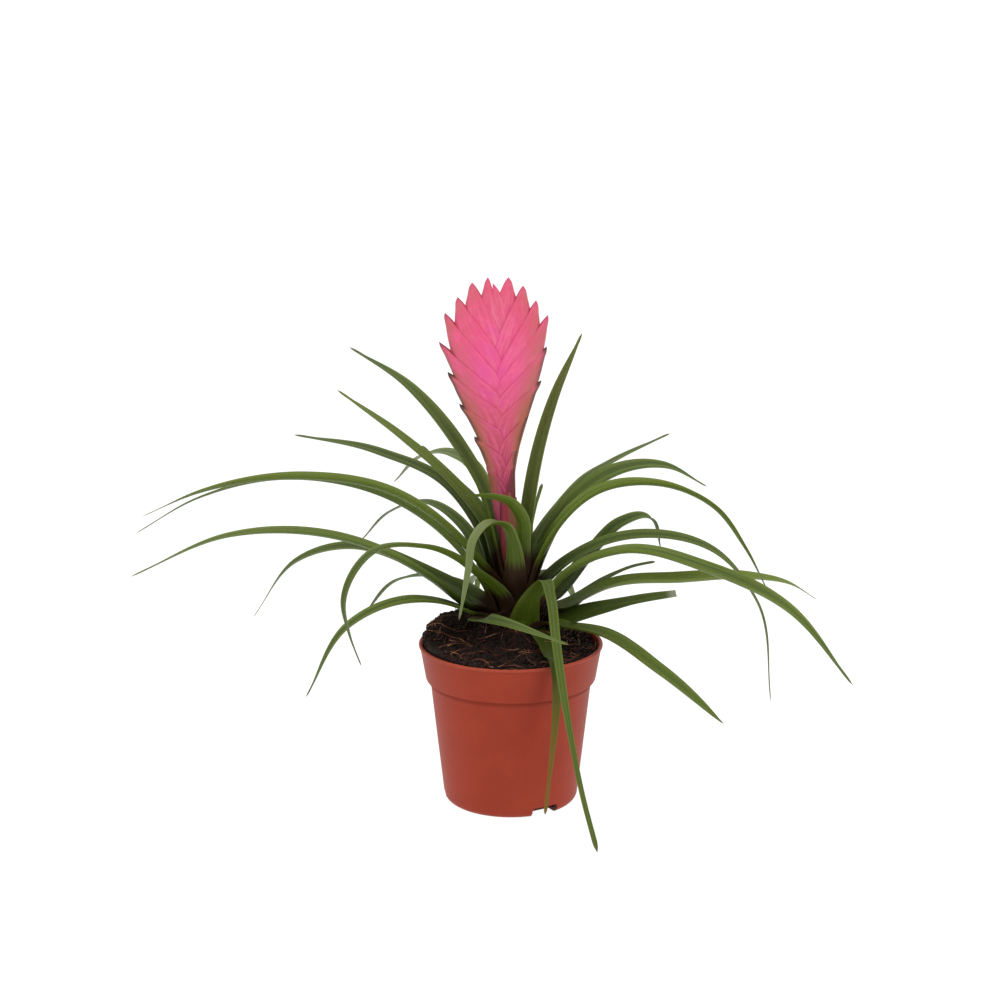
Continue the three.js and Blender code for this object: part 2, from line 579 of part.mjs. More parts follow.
// The head's bracts, from the lowest up. Side -1 is left. Out is the tip's distance from the head's
// axis, tip its height, belly the keel's distance from the axis at mid length, and deep half the
// head's thickness at the bract's free margin.
const BRACTS = [
  { side: 1, out: 7, tip: 178, length: 31, belly: 4.6, deep: 4.6 },
  { side: -1, out: 12.6, tip: 182, length: 35, belly: 6.4, deep: 4.8 },
  { side: 1, out: 13.3, tip: 193, length: 42, belly: 7.4, deep: 5.0 },
  { side: -1, out: 18.6, tip: 198, length: 46, belly: 10, deep: 5.2 },
  { side: 1, out: 20, tip: 209.5, length: 48, belly: 11.5, deep: 5.3 },
  { side: -1, out: 23.8, tip: 213.5, length: 50, belly: 13.5, deep: 5.3 },
  { side: 1, out: 22.8, tip: 225.5, length: 52, belly: 15, deep: 5.2 },
  { side: -1, out: 27.5, tip: 228, length: 52, belly: 17.5, deep: 5.1 },
  { side: 1, out: 23.7, tip: 241, length: 54, belly: 19, deep: 4.9 },
  { side: -1, out: 25.1, tip: 242, length: 54, belly: 19.5, deep: 4.7 },
  { side: 1, out: 18.2, tip: 248, length: 54, belly: 18, deep: 4.4 },
  { side: -1, out: 18.9, tip: 249.5, length: 52, belly: 18.5, deep: 4.1 },
  { side: 1, out: 11.8, tip: 255, length: 50, belly: 15, deep: 3.7 },
  { side: -1, out: 12.2, tip: 256.5, length: 48, belly: 15.5, deep: 3.3 },
  { side: 1, out: 4.7, tip: 259, length: 46, belly: 10, deep: 2.8 },
  { side: -1, out: 4.7, tip: 259, length: 44, belly: 9.5, deep: 2.3 },
  { side: 1, out: -1.5, tip: 256, length: 38, belly: 4, deep: 1.8 },
];

// The flower head: all its bracts grown on one slim axis.
function makeQuill() {
  const core = spindle([
    [HEAD_FOOT + CLEARANCE, 4.2, 4],
    [165, 5, 4],
    [200, 7, 3.4],
    [235, 5, 1.6],
    [246, 2, 0.8],
  ], HEAD_SIDES);
  let head = toSolid(core);
  for (const bract of BRACTS) head = head.add(toSolid(makeBract(bract)));
  return toGeometry(head);
}

// The stalk, with the scape bracts that clasp it.
function makeStalk() {
  const foot = STALK_HOLE_FLOOR + CLEARANCE;
  let stalk = toSolid(spindle([
    [foot, STALK_RADIUS, STALK_RADIUS],
    [HEAD_LEAN_START, STALK_RADIUS, STALK_RADIUS],
    [106, STALK_RADIUS, STALK_RADIUS],
    [HEAD_FOOT, STALK_TOP_RADIUS, STALK_TOP_RADIUS],
  ], STALK_SIDES));
  const scapeBracts = [
    { side: -1, out: 4.6, tip: 140, length: 24, belly: 4.2, deep: 4.2 },
    { side: 1, out: 5.4, tip: 145.8, length: 30, belly: 4.4, deep: 4.4 },
  ];
  for (const bract of scapeBracts) stalk = stalk.add(toSolid(makeBract(bract)));
  return toGeometry(stalk);
}

const plant = new THREE.Group();
addPiece(plant, 'pot', makePot(), POT_PLASTIC);
addPiece(plant, 'soil', makeSoil(), PEAT);
addPiece(plant, 'crown', makeCrown(), CROWN_STEM);
for (const leaf of LEAVES) addPiece(plant, leaf.name, makeLeaf(leaf), LEAF_GREEN);
addPiece(plant, 'flower_stalk', makeStalk(), STALK_RED);
addPiece(plant, 'quill', makeQuill(), BRACT_PINK);

export default plant;
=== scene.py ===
"""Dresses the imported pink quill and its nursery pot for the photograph's view. Metres, +Z up."""
import json
import math

import bmesh
import bpy
import numpy as np
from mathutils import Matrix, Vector, noise

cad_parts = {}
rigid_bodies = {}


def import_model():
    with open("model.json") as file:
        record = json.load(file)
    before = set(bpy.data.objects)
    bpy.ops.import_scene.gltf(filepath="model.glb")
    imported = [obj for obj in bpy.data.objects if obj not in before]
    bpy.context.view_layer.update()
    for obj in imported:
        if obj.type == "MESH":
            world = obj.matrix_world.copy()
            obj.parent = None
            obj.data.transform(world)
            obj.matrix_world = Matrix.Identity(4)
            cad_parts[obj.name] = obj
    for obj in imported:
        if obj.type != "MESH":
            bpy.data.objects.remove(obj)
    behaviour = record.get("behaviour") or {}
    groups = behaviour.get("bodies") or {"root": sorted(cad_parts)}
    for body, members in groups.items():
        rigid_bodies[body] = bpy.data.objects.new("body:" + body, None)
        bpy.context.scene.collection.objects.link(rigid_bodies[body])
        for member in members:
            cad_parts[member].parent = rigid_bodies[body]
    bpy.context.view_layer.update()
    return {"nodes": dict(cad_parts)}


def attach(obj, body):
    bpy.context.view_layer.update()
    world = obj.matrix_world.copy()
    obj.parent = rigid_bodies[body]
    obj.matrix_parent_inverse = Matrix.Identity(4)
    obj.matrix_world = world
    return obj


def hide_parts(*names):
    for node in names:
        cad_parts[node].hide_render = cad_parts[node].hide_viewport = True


MM = 0.001
FRAME_SIDE = 1000
SEED = 7

# Camera, in metres and degrees: it stands in front of the pot and looks a little down on it
CAMERA_PLACE = (-0.00528, -1.14445, 0.44084)
CAMERA_PITCH = 14.19
CAMERA_FOCAL_PIXELS = 2448.0
SENSOR_WIDTH = 36.0

# Edges that bend by more than this many degrees stay crisp. Points closer than the weld distance are
# joined, and edges shorter than the sliver length are removed, both in metres
SHARP_ANGLE = 50.0
WELD_DISTANCE = 2e-6
SLIVER_LENGTH = 1e-7

# Light: how bright the surround is on each side, the floor's greys and its own glow, and the lamps as
# name, place in metres, width in metres and power in watts
BACK_LIGHT = 0.75
SIDE_LIGHT = 0.65
FRONT_LIGHT = 0.28
TOP_LIGHT = 1.55
FLOOR_GREY = (0.15, 0.15, 0.15)
FLOOR_GREY_PATCH = (0.16, 0.16, 0.16)
FLOOR_GLOW = 0.95
FLOOR_HALF_SIDE = 9000
FLOOR_DROP = 0.05
LAMP_AIM = (0, 0, 0.12)
LAMPS = (
    ("key_left", (-0.85, -0.75, 1.0), 0.6, 4.8),
    ("key_right", (0.9, -0.6, 0.95), 0.5, 4.0),
)

# Pot, in millimetres
POT_HEIGHT = 80.0
RIM_RADIUS = 45.0
COLLAR_FOOT_RADIUS = 41.6
COLLAR_DEPTH = 17.7
SHOULDER_RADIUS = 39.3
SHOULDER_DEPTH = 20.7
FOOT_RADIUS = 33.0
FOOT_CORNER = 4.0
WALL = 1.2
FLOOR_THICKNESS = 1.6
LIP_OVERHANG = 0.6
LIP_DEPTH = 1.6
LIP_EDGES = (0.25, 0.35)
LIP_INNER_DROP = 0.3
POT_SIDES = 160
EDGE_ROUNDING = 0.7
ROUNDING_STEPS = 4
FOOT_STEPS = 8
FOOT_STEP_ANGLE = 12.5
NOTCH_WIDTH = 14.0
NOTCH_HEIGHT = 5.0
NOTCH_REACH = 24.0
NOTCH_CORNER = 1.5
NOTCH_CORNER_STEPS = 5
NOTCH_AZIMUTHS = (301, 61, 181)

# Heights of the points along the pot's wall, and how it turns out into the collar, as distances past the
# shoulder's radius and above its height
WALL_HEIGHTS = (5.5, 8, 14, 28, 44)
SHOULDER_TURN = ((-0.2, -1.3), (0.15, 0.0), (0.8, 1.4))

# Peat, in millimetres and degrees, with its lumps as how close together they are and how high
PEAT_RADIUS = 43.0
PEAT_EDGE_HEIGHT = 79.5
PEAT_MOUND = 5.0
PEAT_TILT_RISE = 4.4
PEAT_TILT_AZIMUTH = 158
PEAT_COLLAR_RISE = 7.5
PEAT_COLLAR_REACH = 20.0
PEAT_LOBE = (-26.0, 8.0)
PEAT_LOBE_REACH = 15.0
PEAT_LOBE_RISE = 6.8
PEAT_LUMPS = ((0.11, 1.3), (0.27, 0.9), (0.6, 0.55))
PEAT_LUMP_SLICE = 3.0
PEAT_CALM_START = 0.86
PEAT_CALM = 0.6
PEAT_RIM_RISE = 1.4
PEAT_RIM_SLOPE = 1.8
PEAT_RIM_ROUGHNESS = 0.4
PEAT_CLEARANCE = 0.3
PEAT_SKIRT_CLEARANCE = 0.8
PEAT_RIM_CREEP = 0.5
PEAT_RIM_CREEP_BAND = (0.8, 4.0)
PEAT_SIDES = 150
PEAT_RINGS = 46
PEAT_RING_CROWDING = 0.8
PEAT_DEPTH = 14.0

# Loose crumbs and fibres on the peat, in millimetres and radians, with their numbers by the square metre
SCATTER_RINGS = 16
SCATTER_SIDES = 60
SCATTER_START = 3.0
CRUMB_REACH = 42.9
CRUMBS_BY_AREA = 330000.0
CRUMB_SIZES = (0.35, 1.7)
CRUMB_SHAPES = ((0.7, 0.5, 0.35), (1.5, 1.0, 0.9))
CRUMB_DENT_SCALE = 1300.0
CRUMB_DENT = 1.1
CRUMB_TURN = 6.2
FIBRE_REACH = 41.5
FIBRES_BY_AREA = 20000.0
FIBRE_LENGTHS = (7.0, 30.0)
FIBRE_RADIUS = 0.15
FIBRE_SIDES = 4
FIBRE_POINTS = 14
FIBRE_TILT = 0.28
FIBRE_TURN = 6.28
FIBRE_CURL = 11.0
FIBRE_CURL_SCALE = 70.0
FIBRE_CURL_CENTRE = (0.5, 0.5, 0.44)
FIBRE_CURL_SHARES = (1.0, 1.0, 0.7)
FIBRE_CEILING = 87.5
FIBRE_CEILING_SLOPE = 0.7

# Plant, in millimetres and degrees: the rings of leaves, the crown, the sheath that clasps it, the
# channelled blade, its slow waver and its tip, the maroon base, and how finely a leaf is made
PLANT_X = 2.0
RING_RADIUS = 6.0
RING_PITCH = 1.06
RING_STAGGER = 0.24
RING_STAGGER_CYCLE = 4
CROWN_RADIUS = 15.2
CROWN_EDGE_HEIGHT = 80.5
CROWN_TOP_HEIGHT = 90.5
STALK_HOLE_RADIUS = 3.6
SHEATH_TOP = 103.0
SHEATH_TOP_DROP = 1.8
SHEATH_HALF_WIDTH = 9.5
SHEATH_SHARE = 1.25
SHEATH_WIDEST_ANGLE = 80
SHEATH_LENGTH = 56.0
SHEATH_START = 4.0
SHEATH_ROOTING = 3.0
SHEATH_INSET = 1.0
SHEATH_SAMPLES = 12
SHEATH_EXTRA_SPREAD = 0.3
LEAF_THICKNESS = 0.65
THIN_TIP_SHARE = 0.35
BLADE_CURVE_RADIUS = 4.6
CURVE_BLEND = (24.0, 58.0)
CENTRE_BLEND = (18.0, 50.0)
ROLL_START = 20.0
ROLL_END_SHARE = 0.6
WAVER_TURN = 0.06
WAVER_PITCH = 0.03
WAVER_BLEND = (30.0, 90.0)
MOST_SPREAD = 1.35
TIP_HALF_WIDTH = 1.05
LONG_TIP_HALF_WIDTH = 1.5
LONG_LEAF = 175.0
TIP_START = 0.978
CUT_END_STEP = 0.15
CUT_END_NARROWING = 0.42
MAROON_LENGTH = 46.0
MAROON_DROP = 3.4
LEAF_ROWS = 72
LEAF_ROW_CROWDING = 1.05
LEAF_COLUMNS = 13
FOOT_ROWS = 4
PATH_STEP = 0.02

# How a leaf's width sways along it: how close together the waves are, each leaf's own shift and how strong
WIDTH_SWAYS = ((0.06, 1.7, 0.03), (0.017, 2.3, 0.04))

# Every leaf: name, ring, sheath azimuth, blade azimuth, width, roll, how late it tapers (0 for the one
# whose end is cut off), and its path as distance out from the plant's axis, height above the pot's foot
# and, where the blade swings aside, azimuth
LEAVES = (
    ("right_upright", 0, 40, 30, 12, 0, 4, ((7.8, 145), (14.7, 178), (22.1, 199.3), (37.4, 230))),
    ("left_upright", 0, 158, 140, 13.6, -18, 4,
     ((9.5, 128, 150), (18.5, 150.5), (37.8, 174.5), (68, 198), (108.6, 213.4))),
    ("front_curl_high", 0, 280, 236, 8, -20, 6,
     ((10.5, 131, 290), (13.2, 145, 285), (16, 153.6, 264), (23, 158, 247), (40, 162, 233))),
    ("right_back_high", 1, 50, 50, 8, 0, 3.2,
     ((10.5, 119), (20.5, 131.5), (36, 142.3), (54.5, 152), (75, 156.4), (126, 162.8))),
    ("left_high", 1, 156, 156, 9.8, -15, 4,
     ((10.5, 118), (15.8, 136.5), (30.3, 154.2), (60.7, 177.2), (96, 197.7))),
    ("front_curl", 1, 262, 236, 10, -40, 4,
     ((13, 118, 268), (16, 135, 264), (19.5, 144, 254), (26, 146.3, 243), (33.5, 140.5), (39, 126),
      (47.6, 102.8))),
    ("right_tall_arch", 2, 3, 8, 13.2, 0, 3.8,
     ((11.5, 120), (18.7, 135), (40, 154.6), (71, 157.3), (98.2, 144.6), (114, 123.5), (128, 97))),
    ("left_back_point", 2, 117, 131, 9, 0, 4, ((13, 122), (27, 142), (45, 152), (71, 166.3))),
    ("left_long_arch", 2, 195, 188, 13, 0, 6,
     ((22, 127.2), (56, 156.4), (104, 166.8), (151, 160.8), (179, 149.2))),
    ("right_twist", 3, 22, 27, 12.8, 32, 4,
     ((15.5, 123.5), (29.5, 145), (55, 159.5), (83, 159.6), (108.8, 145.8))),
    ("back_left_arch", 3, 96, 112, 9, 0, 6,
     ((13.5, 116, 104), (28, 138.5), (47.5, 153.5), (82, 156.2), (128, 146), (175, 120.5))),
    ("left_curl", 3, 222, 216, 10, 0, 4,
     ((27, 122), (55, 137.4), (84.4, 137.4), (98.1, 118), (95.6, 102), (89, 84))),
    ("right_long_fall", 4, 10, 7, 12, 0, 3,
     ((20.5, 115), (40, 127.8), (70, 131.8), (98.2, 123), (119.9, 97.3), (128.9, 43.3))),
    ("back_high", 4, 80, 86, 10.5, 0, 3, ((20, 118), (45, 130), (80, 124), (115, 102), (140, 74))),
    ("left_back_high", 4, 150, 147, 9.5, -12, 5,
     ((20, 132), (37.2, 151.8), (80, 164.8), (134, 167.4))),
    ("front_folded", 4, 238, 232, 12.8, 27, 1.8,
     ((18, 97), (24, 97.4, 233), (29, 98.2, 235), (31.6, 99.6, 240), (34.3, 100.8, 250),
      (40, 101.3, 264.5), (49, 100, 279), (62, 96.3, 293.5))),
    ("right_broad", 5, 337, 343, 15.6, 14, 3.5,
     ((18, 105, 336), (28.5, 119.3, 338), (52, 130.4), (95.6, 124.8), (133.6, 109), (166.3, 73.6))),
    ("back_right_short", 5, 58, 60, 8, 0, 3, ((22, 103), (34, 107), (46, 104), (57, 96))),
    ("back_left_low", 5, 126, 132, 9, 0, 4,
     ((22, 116), (37.4, 130.2), (62, 138), (95, 127.5), (120, 106.4))),
    ("left_long_behind", 5, 184, 174, 12, 0, 4,
     ((22, 119.5, 178), (55.2, 148.6), (105, 160.2), (155.3, 148.6), (188.3, 129))),
    ("right_hook", 6, 28, 28, 11, 12, 6,
     ((23.5, 100), (43.5, 120.2), (60.7, 132.9), (75.8, 133.8), (83.3, 115.5))),
    ("back_arch", 6, 98, 98, 10.5, 0, 3, ((25, 104), (55, 116), (95, 108), (130, 82), (148, 60))),
    ("left_low_arch", 6, 204, 195, 12.4, -8, 3.8,
     ((25, 99.5), (42.4, 116), (90.5, 140.2), (139, 143.4), (186, 126.6))),
    ("front_creased", 6, 296, 292, 7.4, 0, 1.6,
     ((19, 103, 290), (27, 116, 297), (31, 119, 297.5), (36, 113, 297), (46, 94, 294.3), (56, 76, 292.7),
      (70, 54, 291.5), (85, 31, 291.2), (101, 8, 291.8))),
    ("right_level", 7, 14, 17, 12.5, 12, 5,
     ((27, 95.5), (48.3, 104.6), (86, 104.8), (126, 102.4), (145, 97.4), (161, 87))),
    ("back_right_low", 7, 70, 72, 9.5, 0, 3, ((24, 95), (55, 99), (88, 86), (112, 64))),
    ("left_mid_arch", 7, 157, 165, 11, 0, 4,
     ((27, 102.5), (48.5, 113.8), (84, 122.4), (112, 113.2), (136.4, 81))),
    ("right_cut", 8, 12, 3, 9.2, 8, 0, ((22, 90.3), (39.8, 95.6), (61, 100.4), (79, 103.1))),
    ("right_back_thin", 8, 54, 36, 5.4, 0, 1.7, ((28, 92), (56.5, 103), (72, 106), (88.5, 106.2))),
    ("back_left_fall", 8, 106, 106, 9, 0, 3, ((24, 93), (52, 98), (78, 90), (92, 76))),
    ("left_back_thin", 8, 150, 148, 8.5, 0, 4, ((25, 100), (44, 106), (68.6, 101.2), (91, 78.5))),
    ("left_low_fall", 8, 206, 204, 12.6, 0, 3.2,
     ((28, 99.5), (55, 107.9), (86.5, 98.9), (108.6, 66.2))),
    ("front_hanging", 8, 308, 288, 5.4, 0, 3,
     ((22, 85, 309), (31, 82, 302), (38, 81.6, 297), (45, 82.8, 294), (49.3, 76, 293), (50.2, 65.8, 292.6),
      (50.7, 56, 291.9), (51.2, 42.8, 290.3), (51.8, 29.6, 288.4), (52.6, 9.5, 285.6))),
    ("right_low_fall", 8, 329, 335, 12.2, 14, 7, ((29, 90.3), (45, 90.4), (76, 75.6), (109, 53.6))),
    ("back_short_tip", 2, 66, 68, 6, 0, 2.5, ((11, 118), (19, 133), (36.5, 151.5))),
)

# Leaves whose tint stands out in the photograph: how yellow, and how dark or, below 0, how pale above
# The dark tint is partly the leaf's own tone and partly painted shade; the pale tint is partly grey scales
# and partly painted light
LEAF_TINTS = {
    "right_upright": (0.3, -0.3),
    "left_high": (0.4, -0.25),
    "front_curl_high": (0.0, -0.25),
    "right_cut": (0.3, 0.5),
    "left_low_arch": (0.1, -0.1),
    "left_long_arch": (0.15, 0.0),
    "right_tall_arch": (0.3, 0.0),
    "right_broad": (0.1, 0.0),
    "front_hanging": (0.5, 0.65),
    "front_creased": (0.3, 0.25),
    "front_curl": (0.0, -0.5),
    "right_low_fall": (0.35, 0.2),
    "front_folded": (0.0, -0.05),
    "right_level": (0.6, -0.2),
}

# The most that the other leaves' yellow and dark tints reach, and how each steps from leaf to leaf
TINT_REACHES = (0.12, 0.25)
TINT_STEPS = (0.37, 0.71)
TONE_STEP = 0.618

# How far the maroon reaches where a leaf has less of it, in millimetres, and how the last part of a leaf
# dries: pale above 0 and rust brown below
SHORT_MAROON = {"front_creased": 12.0, "left_curl": 26.0, "front_hanging": 6.0}
LEAF_DRYNESS = {"right_cut": 1.0, "front_hanging": -1.0}

# The head leans to the left as it rises, in millimetres
HEAD_LEAN = 0.0708
HEAD_LEAN_START = 91.0
HEAD_LEAN_END = 204.0

# How a bract folds round the head, in millimetres and shares: its keel, its margins, the wider part below
# its tip, how far it stands out from its neighbours, its ripple and the scale of the marks for its colours
KEEL_FOOT = 3.0
BRACT_ROWS = 48
BRACT_COLUMNS = 16
BRACT_THICKNESS = 0.4
BRACT_END_SHARPNESS = 12
MARGIN_OVERLAP = 2.4
MARGIN_CROSSING = 0.38
MARGIN_POWERS = (1.35, 0.35)
LAST_MARGIN_POWER = 2.2
BROAD_BRACT = 27.0
TIP_SWELL = 0.6
TIP_SWELL_LENGTH = 3.2
KEEL_SWELL_SHARE = 0.65
LENS_MARGIN = 1.5
LEAST_DEPTH = 0.4
BURIED_SHARE = 0.62
RISEN_SHARE = 0.5
RISE_LENGTH = 12
STEP_PER_MM = 0.02
STEP_RANGE = (-25, 45)
EDGE_DIP = 0.24
EDGE_DIP_REACH = 0.5
KEEL_ROUNDING = 0.16
TIP_FLATNESS = 0.6
TIP_FLAT_START = 0.9
RIPPLE = 0.05
RIPPLE_PITCH = 9
RIPPLE_SHIFT = 1.3
RIPPLE_START = 0.2
HEAD_FOOT = 146
HEAD_LENGTH = 113
MARK_SCALE = 0.1
PATTERN_STEP = 5.37
PATTERN_CYCLE = 11

# Each bract of the head from the lowest up: side, tip's distance from the axis, tip's height, length, the
# keel's distance from the axis at mid length, how dark the tip is, the height where its margin crosses the
# head's middle line, and how maroon it is
BRACTS = (
    (1, 5.6, 171.5, 46, 4.4, 0.2, 156.5, 0.72),
    (-1, 8.2, 169.5, 48, 6.2, 0.3, 158.5, 0.45),
    (1, 7.2, 178.5, 36, 4.8, 1.0, 166, 0.15),
    (-1, 13.1, 182.8, 36, 7.4, 1.0, 173.5, 0.1),
    (1, 13.5, 193.8, 43, 6.9, 1.0, 180.5, 0.0),
    (-1, 19.1, 198.8, 47, 9.2, 1.0, 186, 0.0),
    (1, 20.4, 210.3, 49, 11.1, 0.85, 193, 0.0),
    (-1, 24.2, 214.3, 51, 13.7, 0.9, 196.5, 0.0),
    (1, 22.9, 226.6, 53, 15.8, 0.7, 202, 0.0),
    (-1, 28.2, 228.8, 53, 16.6, 0.35, 205, 0.0),
    (1, 23.4, 241.8, 55, 18.2, 0.1, 209.5, 0.0),
    (-1, 25.4, 242.8, 55, 19.5, 0.15, 213.5, 0.0),
    (1, 17.8, 248.8, 55, 17.8, 0.0, 217, 0.0),
    (-1, 19.3, 250.3, 53, 18.5, 0.05, 224, 0.0),
    (1, 11.6, 255.8, 51, 15, 0.0, 231.8, 0.0),
    (-1, 12.4, 257.3, 49, 15.5, 0.0, 235.5, 0.0),
    (-1, 5.0, 259.8, 45, 9.5, 0.0, 243, 0.0),
    (1, 4.7, 259.8, 47, 10, 0.0, 250, 0.0),
    (1, -2.7, 256.9, 38, 6.4, 0.0, 247, 0.0),
)

# The stalk's heights and radii below the head, and the depth of the low ridges along it
STALK_ROWS = ((74, 3.2), (91, 3.2), (106, 3.4), (118, 3.9), (127, 4.1), (136, 4.0), (146, 4.0), (156, 4.0))
STALK_SIDES = 48
STALK_RIDGE = 0.05
STALK_RIDGES = 3
STALK_RIDGE_TWIST = 0.11

# The scape bracts that clasp the stalk below the head, in the same measures as the head's
SCAPE_BRACTS = (
    (1, 5.0, 153, 44, 4.4, 1.0, 141, 1.0),
    (-1, 5.0, 143, 40, 4.3, 1.0, 131, 1.0),
    (1, 4.9, 133, 36, 4.3, 1.0, 121, 1.0),
)

# Half widths on the two sides and half depth of the head at a few heights
HEAD_HEIGHTS = (100, 140, 150, 160, 171, 182, 193, 204, 214, 228, 242, 250, 256, 260)
HEAD_LEFT_WIDTHS = (3.9, 4.4, 5.2, 6.9, 8.8, 12.8, 16.8, 20.8, 24, 27.8, 25.3, 19.5, 13, 6)
HEAD_RIGHT_WIDTHS = (3.9, 4.2, 4.5, 4.9, 6.3, 8.8, 12.6, 17.6, 20.4, 22.8, 23, 17, 11.5, 6)
HEAD_HALF_DEPTHS = (3.7, 4.1, 4.2, 4.5, 4.8, 5.0, 5.2, 5.2, 5.1, 4.7, 3.7, 2.8, 1.8, 0.8)

# How much of their own colour the thin bracts give off: a painted glow for the light through them
BRACT_PAINTED_GLOW = 0.3

# Colours as linear red, green and blue. The stops of a ramp are a place from 0 to 1 and a colour
LEAF_UNDER_DARK = (0.030, 0.054, 0.0030)
LEAF_UNDER_LIGHT = (0.090, 0.150, 0.010)
LEAF_UNDER_BAND = (0.13, 0.19, 0.010)
# Painted highlight down the middle of the leaf's under face
LEAF_MIDDLE_HIGHLIGHT = (0.14, 0.20, 0.015)
LEAF_OVER_DARK = (0.058, 0.092, 0.015)
LEAF_OVER_LIGHT = (0.14, 0.185, 0.044)
LEAF_OVER_BAND = (0.04, 0.075, 0.008)
LEAF_SCALES = (0.22, 0.25, 0.13)
LEAF_FLANK = (0.032, 0.060, 0.006)
LEAF_PALE_LINE = (0.13, 0.18, 0.03)
# Grey scales and painted light, for leaves tinted pale above
LEAF_PALE_AND_PAINTED_LIGHT = (0.26, 0.29, 0.145)
LEAF_PATCH = (0.13, 0.17, 0.02)
# Painted highlight along the leaf's edges
LEAF_EDGE_HIGHLIGHT = (0.19, 0.24, 0.05)
LEAF_YELLOW = (0.145, 0.20, 0.010)
# The leaves' own darker tone and painted shade
LEAF_DARK_AND_PAINTED_SHADE = (0.022, 0.036, 0.004)
LEAF_MAROON = (0.032, 0.0105, 0.0065)
LEAF_TIP = (0.12, 0.085, 0.03)
LEAF_DRY = (0.24, 0.26, 0.17)
LEAF_RUST = (0.24, 0.125, 0.016)
BRACT_STOPS = ((0.0, (0.12, 0.010, 0.018)), (0.18, (0.30, 0.030, 0.062)), (0.42, (0.46, 0.059, 0.108)),
               (0.6, (0.62, 0.062, 0.200)), (0.78, (0.62, 0.064, 0.172)), (1.0, (0.50, 0.078, 0.118)))
BRACT_STREAK = (0.66, 0.125, 0.24)
BRACT_LINE = (0.44, 0.062, 0.14)
BRACT_FLECK = (0.68, 0.15, 0.23)
BRACT_FRECKLE = (0.44, 0.042, 0.150)
BRACT_PALE = (0.56, 0.17, 0.21)
BRACT_COOL = (0.56, 0.056, 0.27)
BRACT_FLUSH = (0.60, 0.040, 0.095)
BRACT_SALMON = (0.43, 0.088, 0.095)
BRACT_OLIVE = (0.28, 0.14, 0.085)
BRACT_BROWN = (0.26, 0.080, 0.032)
BRACT_MAROON = (0.075, 0.006, 0.012)
BRACT_INNER_EDGE = (0.42, 0.038, 0.10)
BRACT_MAGENTA_TIP = (0.50, 0.056, 0.145)
BRACT_NEEDLE = (0.040, 0.027, 0.022)
BRACT_KEEL = (0.055, 0.031, 0.023)
STALK_STOPS = ((0.0, (0.05, 0.03, 0.014)), (0.4, (0.13, 0.03, 0.02)), (0.75, (0.24, 0.018, 0.03)),
               (1.0, (0.30, 0.02, 0.045)))
STALK_LEFT_SIDE = (0.05, 0.010, 0.010)
STALK_RIGHT_SIDE = (0.25, 0.10, 0.04)
STALK_STREAK = (0.07, 0.02, 0.012)
POT_RED = (0.298, 0.0325, 0.0120)
POT_RED_CLOUD = (0.330, 0.0380, 0.0155)
POT_DUST = (0.42, 0.09, 0.055)
# Painted highlight along the pot's lip
POT_LIP_HIGHLIGHT = (0.50, 0.11, 0.065)
# Painted shade on the slope under the pot's collar
POT_CHAMFER_SHADE = (0.07, 0.008, 0.004)
# Painted shade inside the pot's notches
POT_NOTCH_SHADE = (0.03, 0.006, 0.004)
PEAT_STOPS = ((0.3, (0.005, 0.0022, 0.0014)), (0.55, (0.017, 0.0065, 0.0038)), (0.75, (0.055, 0.018, 0.010)))
PEAT_GRIT = (0.10, 0.042, 0.024)
FIBRE_STOPS = ((0.38, (0.08, 0.018, 0.009)), (0.52, (0.20, 0.055, 0.024)), (0.66, (0.44, 0.21, 0.10)))
CROWN_DARK = (0.014, 0.007, 0.005)
CROWN_LIGHT = (0.06, 0.026, 0.016)
WHITE = (1, 1, 1, 1)


class Term:
    """A number that flows through a node tree, so that sums on it read as ordinary maths."""

    def __init__(self, bench, socket):
        self.bench = bench
        self.socket = socket

    def work(self, operation, *terms):
        return self.bench.add("ShaderNodeMath", {"operation": operation}, *terms)

    def __add__(self, other):
        return self.work("ADD", self, other)

    def __radd__(self, other):
        return self.work("ADD", other, self)

    def __sub__(self, other):
        return self.work("SUBTRACT", self, other)

    def __rsub__(self, other):
        return self.work("SUBTRACT", other, self)

    def __mul__(self, other):
        return self.work("MULTIPLY", self, other)

    def __rmul__(self, other):
        return self.work("MULTIPLY", other, self)

    def __truediv__(self, other):
        return self.work("DIVIDE", self, other)

    def __rtruediv__(self, other):
        return self.work("DIVIDE", other, self)

    def __pow__(self, other):
        return self.work("POWER", self, other)

    def __neg__(self):
        return self.work("MULTIPLY", self, -1.0)

    def __abs__(self):
        return self.work("ABSOLUTE", self)

    def sine(self):
        return self.work("SINE", self)

    def cosine(self):
        return self.work("COSINE", self)

    def rounded(self):
        return self.work("ROUND", self)

    def at_least(self, other):
        return self.work("MAXIMUM", self, other)

    def at_most(self, other):
        return self.work("MINIMUM", self, other)

    def between(self, low, high):
        """0 below low, 1 above high and a smooth step from one to the other."""
        settings = {"interpolation_type": "SMOOTHSTEP"}
        return self.bench.add("ShaderNodeMapRange", settings, self, low, high, 0.0, 1.0)

    def out(self, name):
        """Another output of the node that made this term."""
        return Term(self.bench, self.socket.node.outputs[name])


